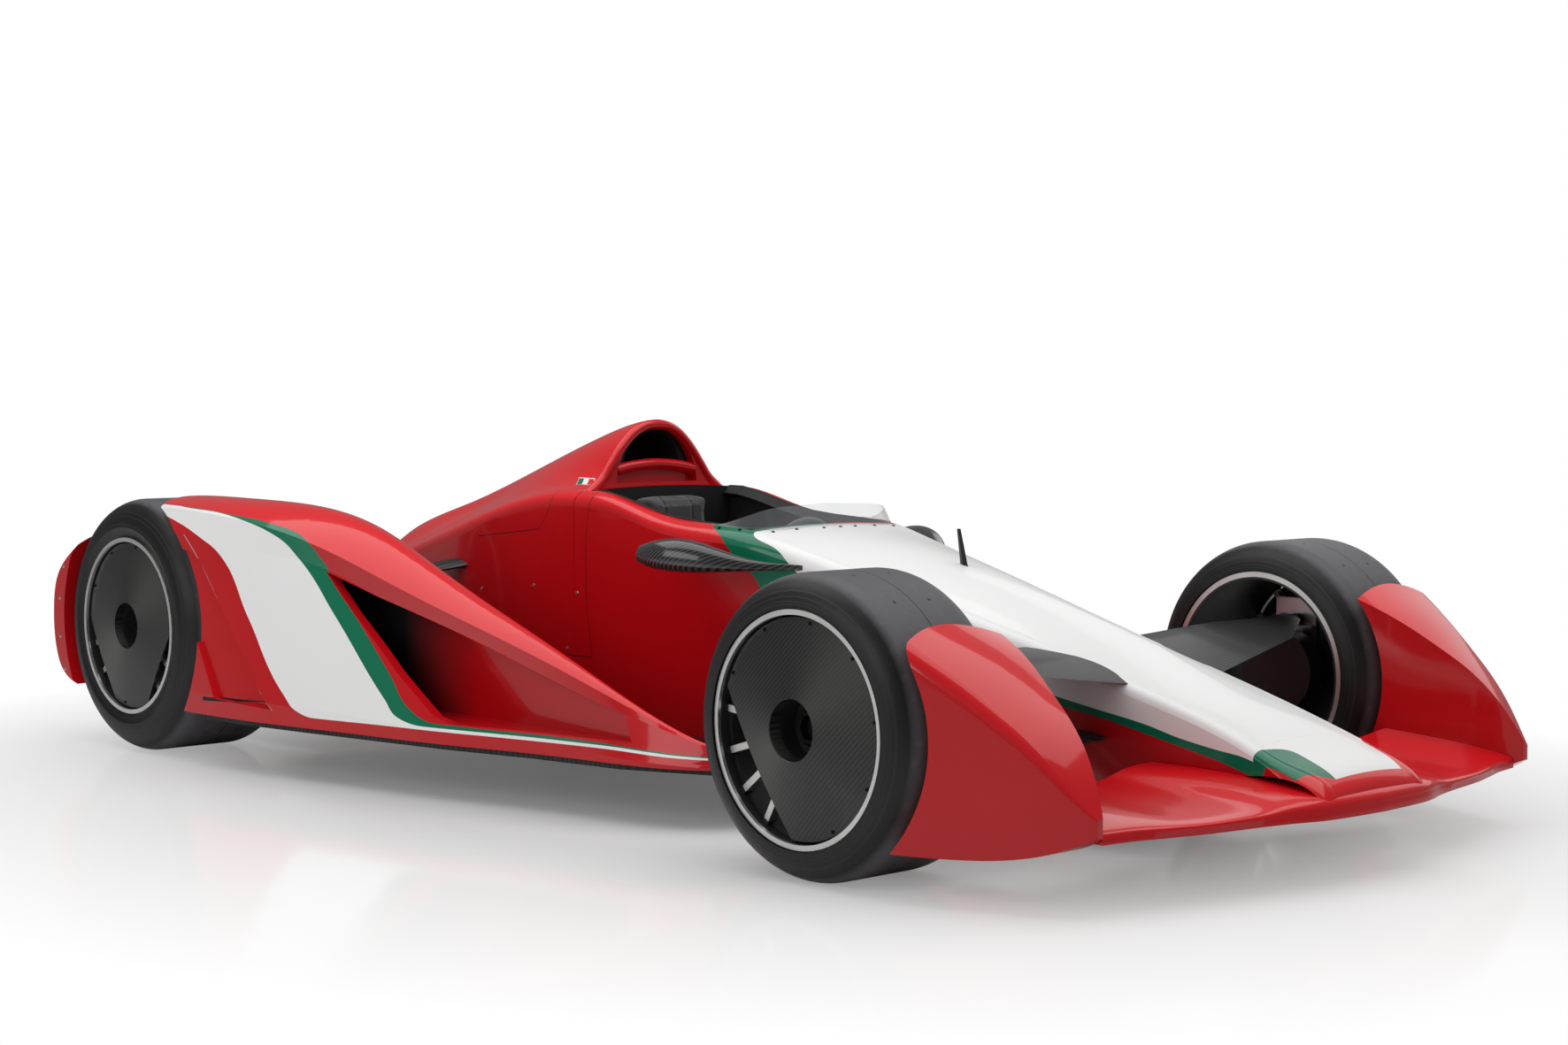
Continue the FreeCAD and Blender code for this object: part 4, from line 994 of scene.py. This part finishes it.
def strap(name, sign, stations):
    """Webbing along places from the seat's low corner, each with the direction across the strap."""
    shape = bmesh.new()
    rows = []
    for forward, y, z, *across in stations:
        step = Vector(across).normalized() * (strap_width / 4)
        spot = Vector((low.x + forward, sign * y, z))
        rows.append([shape.verts.new(spot + step * index) for index in range(-2, 3)])
    net(shape, rows, False, False)
    piece = settled(name, shape, webbing, "chassis", 60)
    piece.modifiers.new("Smooth", "SUBSURF").levels = 2
    piece.modifiers.new("Body", "SOLIDIFY").thickness = strap_thickness


for side, sign in sides:
    strap("shoulder_strap_" + side, sign, (
        (-0.01, 0.145, high.z + 0.03, 0, 1, 0), (0.012, 0.142, high.z + 0.012, 0, 1, 0),
        (0.036, 0.132, high.z - 0.03, 0, 1, -0.1 * sign), (0.083, 0.098, low.z + 0.33, 0, 1, -0.3 * sign),
        (0.134, 0.07, low.z + 0.2, 0, 1, -0.3 * sign), (0.196, 0.045, low.z + 0.076, 0, 1, 0),
        (0.232, 0.03, low.z + 0.066, 0, 1, 0)))
    strap("lap_strap_" + side, sign, (
        (0.12, 0.182, low.z + 0.085, 1, 0, 0.3), (0.16, 0.16, low.z + 0.11, 1, 0, 0.1),
        (0.205, 0.11, low.z + 0.086, 1, 0, 0), (0.235, 0.06, low.z + 0.07, 1, 0.3 * sign, 0),
        (0.25, 0.02, low.z + 0.066, 1, 0.3 * sign, 0)))
buckle_profile = ((0.03, 0.0), (0.031, 0.008), (0.028, 0.012), (0.02, 0.013), (0.019, 0.019), (0.015, 0.021),
                  (0.0001, 0.021))
turned("harness_buckle", buckle_profile, [((low.x + 0.244, 0, low.z + 0.066), (0.1, 0, 1))],
       metal("Buckle metal", (0.45, 0.45, 0.46), 0.3), corners=40)


# Cockpit trim
# Satin black edge moulding of rubber and foam, pressed over the cockpit's rim and sloping in from it.

trim_half = 0.268
trim_drop = 0.02
trim_reach = 0.03
rim_line = ((-0.356, 0.817), (-0.3, 0.8163), (-0.24, 0.806), (-0.2, 0.7978), (-0.1, 0.7732),
            (0.0, 0.7538), (0.1, 0.7448), (0.2, 0.7396), (0.28, 0.7352))
rim_front_x = 0.3215
rim_front_z = 0.7312
trim_section = ((0.0015, -0.012), (-0.0035, 0.0012), (0.0005, 0.0034), (0.008, 0.002),
                (trim_reach * 0.7, -trim_drop * 0.6), (trim_reach, -trim_drop),
                (trim_reach - 0.002, -trim_drop - 0.005), (trim_reach * 0.6, -trim_drop * 0.6 - 0.006))
trim_black, tree = new_material("Trim black")
finish(tree, {
    "Base Color": tinted(noise(tree, 9.0, 3.0), (0.008, 0.008, 0.009), (0.014, 0.014, 0.015)),
    "Roughness": noise(tree, 60.0, 3.0) * 0.15 + 0.45,
    "Specular IOR Level": 0.3,
    "Normal": relief(noise(tree, 900.0, 2.0), 0.3, 0.0003),
})
spots = [(x, -trim_half, z, 0.0, 1.0) for x, z in rim_line]
spots += [(rim_front_x, -trim_half, rim_front_z, -0.7, 0.7),
          (rim_front_x, 0.0, rim_front_z + 0.004, -1.0, 0.0),
          (rim_front_x, trim_half, rim_front_z, -0.7, -0.7)]
spots += [(x, trim_half, z, 0.0, -1.0) for x, z in reversed(rim_line)]
shape = bmesh.new()
net(shape, [[shape.verts.new((x + in_x * inward, y + in_y * inward, z + lift))
             for inward, lift in trim_section] for x, y, z, in_x, in_y in spots])
settled("cockpit_trim", shape, trim_black, "chassis", 50)


# Tail
# On the blunt end of the engine cover: a louvred cooling outlet of black composite, the steel exhaust pipe
# above it and the red rain light below.

tail_face = -2.005
louvre_pitch = 0.018
louvre_thickness = Vector((0, 0, 0.0025))


def plate(name, front, back, bevel, segments, material, body, slot):
    """Flat piece between two outlines with as many corners, its edges rounded."""
    shape = bmesh.new()
    near, far = ([shape.verts.new(spot) for spot in outline] for outline in (front, back))
    shape.faces.new(near)
    shape.faces.new(far[::-1])
    net(shape, (far, near), capped=False)
    bmesh.ops.bevel(shape, geom=shape.edges[:], offset=bevel, segments=segments, affect="EDGES")
    settled(name, shape, material, body)


def tail_slab(name, low_half, low, high_half, high, out, bevel, material, slot):
    """Slab on the tail between two depths, with the half widths and heights of its lower and upper edge."""
    corners = ((-low_half, low), (low_half, low), (high_half, high), (-high_half, high))
    front, back = ([(tail_face + x, y, z) for y, z in corners] for x in out)
    plate(name, front, back, bevel, 3, material, "chassis", slot)


tail_slab("tail_outlet", 0.074, 0.275, 0.068, 0.395, (0.004, -0.008), 0.003, trim_black, "carbon")
for index in range(6):
    level = 0.288 + louvre_pitch * index
    half = 0.068 - 0.0008 * index
    lower = [Vector((tail_face - out, y, level + rise)) for out, y, rise in (
        (0.006, -half, 0), (0.006, half, 0), (0.024, half, 0.009), (0.024, -half, 0.009))]
    plate("tail_louvre_%d" % (index + 1), lower, [spot + louvre_thickness for spot in lower], 0.0008, 2,
          carbon_cross, "chassis", "carbon")

pipe_profile = ((0.034, -0.01), (0.034, 0.062), (0.0352, 0.066), (0.0344, 0.069), (0.0318, 0.066),
                (0.031, 0.004), (0.0001, 0.003))
turned("exhaust_pipe", pipe_profile, [((tail_face, 0.0, 0.442), (-1, 0, 0.12))],
       metal("Exhaust steel", (0.42, 0.38, 0.34), 0.3), corners=48)

lens, tree = new_material("Rain light lens")
x, y, z = place(tree)
cells = over(maths("SINE", y * 520.0), -0.7, 0.3) * over(maths("SINE", z * 520.0), -0.7, 0.3)
finish(tree, {
    "Base Color": tinted(cells, (0.06, 0.002, 0.003), (0.26, 0.006, 0.008)),
    "Roughness": 0.12,
    "Normal": relief(cells, 0.5, 0.0006),
})
tail_slab("rain_light_case", 0.046, 0.206, 0.046, 0.252, (0.004, -0.02), 0.004, trim_black, "carbon")
tail_slab("rain_light_lens", 0.038, 0.213, 0.038, 0.245, (-0.016, -0.0245), 0.002, lens, "screen")


# Steering wheel
# Flat carbon plate with a blank screen and push buttons on a rim wrapped in suede.

wear(woven("Grip suede", (0.04, 0.04, 0.041), 0.0005, 0.85), "steering_wheel")
wheel_spot = Vector((0.2271, 0.0, 0.62915))
wheel_rake = math.radians(20)
wheel_axis = Vector((-math.cos(wheel_rake), 0.0, math.sin(wheel_rake)))
wheel_up = Vector((math.sin(wheel_rake), 0.0, math.cos(wheel_rake)))


def wheel_points(spots, out):
    """Points on the steering wheel: to the side, up its face and out towards the driver."""
    return [wheel_spot + Vector((0, across, 0)) + wheel_up * upward + wheel_axis * out
            for across, upward in spots]


blank, tree = new_material("Blank display")
finish(tree, {
    "Base Color": tinted(noise(tree, 20.0), (0.008, 0.01, 0.014), (0.012, 0.014, 0.018)),
    "Roughness": 0.08,
})
plate_outline = ((-0.074, 0.02), (-0.058, 0.044), (0.058, 0.044), (0.074, 0.02), (0.07, -0.024),
                 (0.04, -0.052), (-0.04, -0.052), (-0.07, -0.024))
display_outline = ((-0.034, 0.006), (-0.034, 0.036), (0.034, 0.036), (0.034, 0.006))
for name, outline, front, back, bevel, material in (
    ("wheel_plate", plate_outline, 0.02, 0.015, 0.0012, carbon_cross),
    ("wheel_display", display_outline, 0.0218, 0.0195, 0.0008, blank),
):
    plate(name, wheel_points(outline, front), wheel_points(outline, back), bevel, 2, material,
          "steering", "carbon")

button_profile = ((0.0055, 0.0), (0.0055, 0.0022), (0.0044, 0.003), (0.0042, 0.0052), (0.0034, 0.006),
                  (0.0001, 0.0062))
for label, colour, spots in (
    ("red", (0.45, 0.01, 0.01), ((-0.052, 0.014), (0.05, -0.02))),
    ("green", (0.01, 0.22, 0.05), ((0.052, 0.014), (-0.05, -0.02))),
    ("white", (0.6, 0.6, 0.58), ((-0.02, -0.036), (0.0, -0.036), (0.02, -0.036))),
):
    button, tree = new_material("Button " + label)
    finish(tree, {"Base Color": tinted(noise(tree, 200.0), shaded(colour, 0.7), colour), "Roughness": 0.35})
    turned("buttons_" + label, button_profile, [(spot, wheel_axis) for spot in wheel_points(spots, 0.0195)],
           button, "steering", 20)


# Studio
# A pale floor, one broad lamp above and softer ones at the sides, and the camera at the photo's place.

floor_reach = 60
fade_start = 1.15
fade_width = 1.5
fade_stretch = 1.25
pale, tree = new_material("Pale floor")
finish(tree, {"Base Color": (0.86, 0.86, 0.86), "Roughness": 0.1, "Specular IOR Level": 0.5})
x, y, z = place(tree)
fade = clamped((distance(x / fade_stretch, y) - fade_start) / fade_width) * 0.88 + 0.12
path = tree.nodes.new("ShaderNodeLightPath").outputs
glow = tree.nodes.new("ShaderNodeEmission")
feed(glow.inputs, {"Color": (1, 1, 1)})
mix = tree.nodes.new("ShaderNodeMixShader")
feed(mix.inputs, {0: fade * Value(path["Is Camera Ray"]), 1: Value(tree.nodes["Principled BSDF"].outputs[0]),
                  2: Value(glow.outputs[0])})
feed(tree.nodes["Material Output"].inputs, {"Surface": Value(mix.outputs[0])})
floor_mesh = bpy.data.meshes.new("Studio floor")
corners = [(floor_reach * x, floor_reach * y, 0) for x, y in ((-1, -1), (1, -1), (1, 1), (-1, 1))]
floor_mesh.from_pydata(corners, [], [(0, 1, 2, 3)])
floor_mesh.materials.append(pale)
studio_floor = bpy.data.objects.new("Studio floor", floor_mesh)
bpy.context.scene.collection.objects.link(studio_floor)

world = bpy.data.worlds.new("Studio air")
bpy.context.scene.world = world
world.use_nodes = True
tree = world.node_tree
path = tree.nodes.new("ShaderNodeLightPath").outputs
soft = Value(path["Is Glossy Ray"]) * -0.26 + 0.44
seen = either(Value(path["Is Camera Ray"]), Value(path["Is Transmission Ray"]), soft)
feed(tree.nodes["Background"].inputs, {"Color": (1, 1, 1), "Strength": seen})

for name, spot, target, wide, deep, power in (
    ("Overhead", (0.2, -0.3, 4.2), (0.0, 0.0, 0.0), 8.0, 4.2, 188.0),
    ("Right", (0.2, -5.6, 2.6), (0.0, 0.0, 0.4), 5.0, 2.2, 76.0),
    ("Left", (0.0, 5.6, 3.2), (0.0, 0.0, 0.4), 6.0, 3.6, 55.0),
):
    lamp = bpy.data.lights.new(name, "AREA")
    lamp.shape = "RECTANGLE"
    lamp.size = wide
    lamp.size_y = deep
    lamp.energy = power
    lit = bpy.data.objects.new(name, lamp)
    lit.location = spot
    lit.rotation_euler = (Vector(target) - Vector(spot)).to_track_quat("-Z", "Y").to_euler()
    bpy.context.scene.collection.objects.link(lit)

view_data = bpy.data.cameras.new("Camera")
view_data.lens = 58.39
view_data.sensor_width = 36.0
view_data.sensor_fit = "HORIZONTAL"
camera = bpy.data.objects.new("Camera", view_data)
camera_spot = (5.388, -4.8976, 1.1042)
heading, pitch, roll = math.radians(136.827), math.radians(-2.956), math.radians(-0.027)
look = Vector((math.cos(pitch) * math.cos(heading), math.cos(pitch) * math.sin(heading), math.sin(pitch)))
side = look.cross(Vector((0, 0, 1))).normalized()
upward = side.cross(look)
camera.matrix_world = (Matrix.Translation(camera_spot)
                       @ Matrix((side, upward, -look)).transposed().to_4x4() @ Matrix.Rotation(roll, 4, "Z"))
bpy.context.scene.collection.objects.link(camera)
bpy.context.scene.camera = camera
bpy.context.scene.view_settings.view_transform = "Standard"
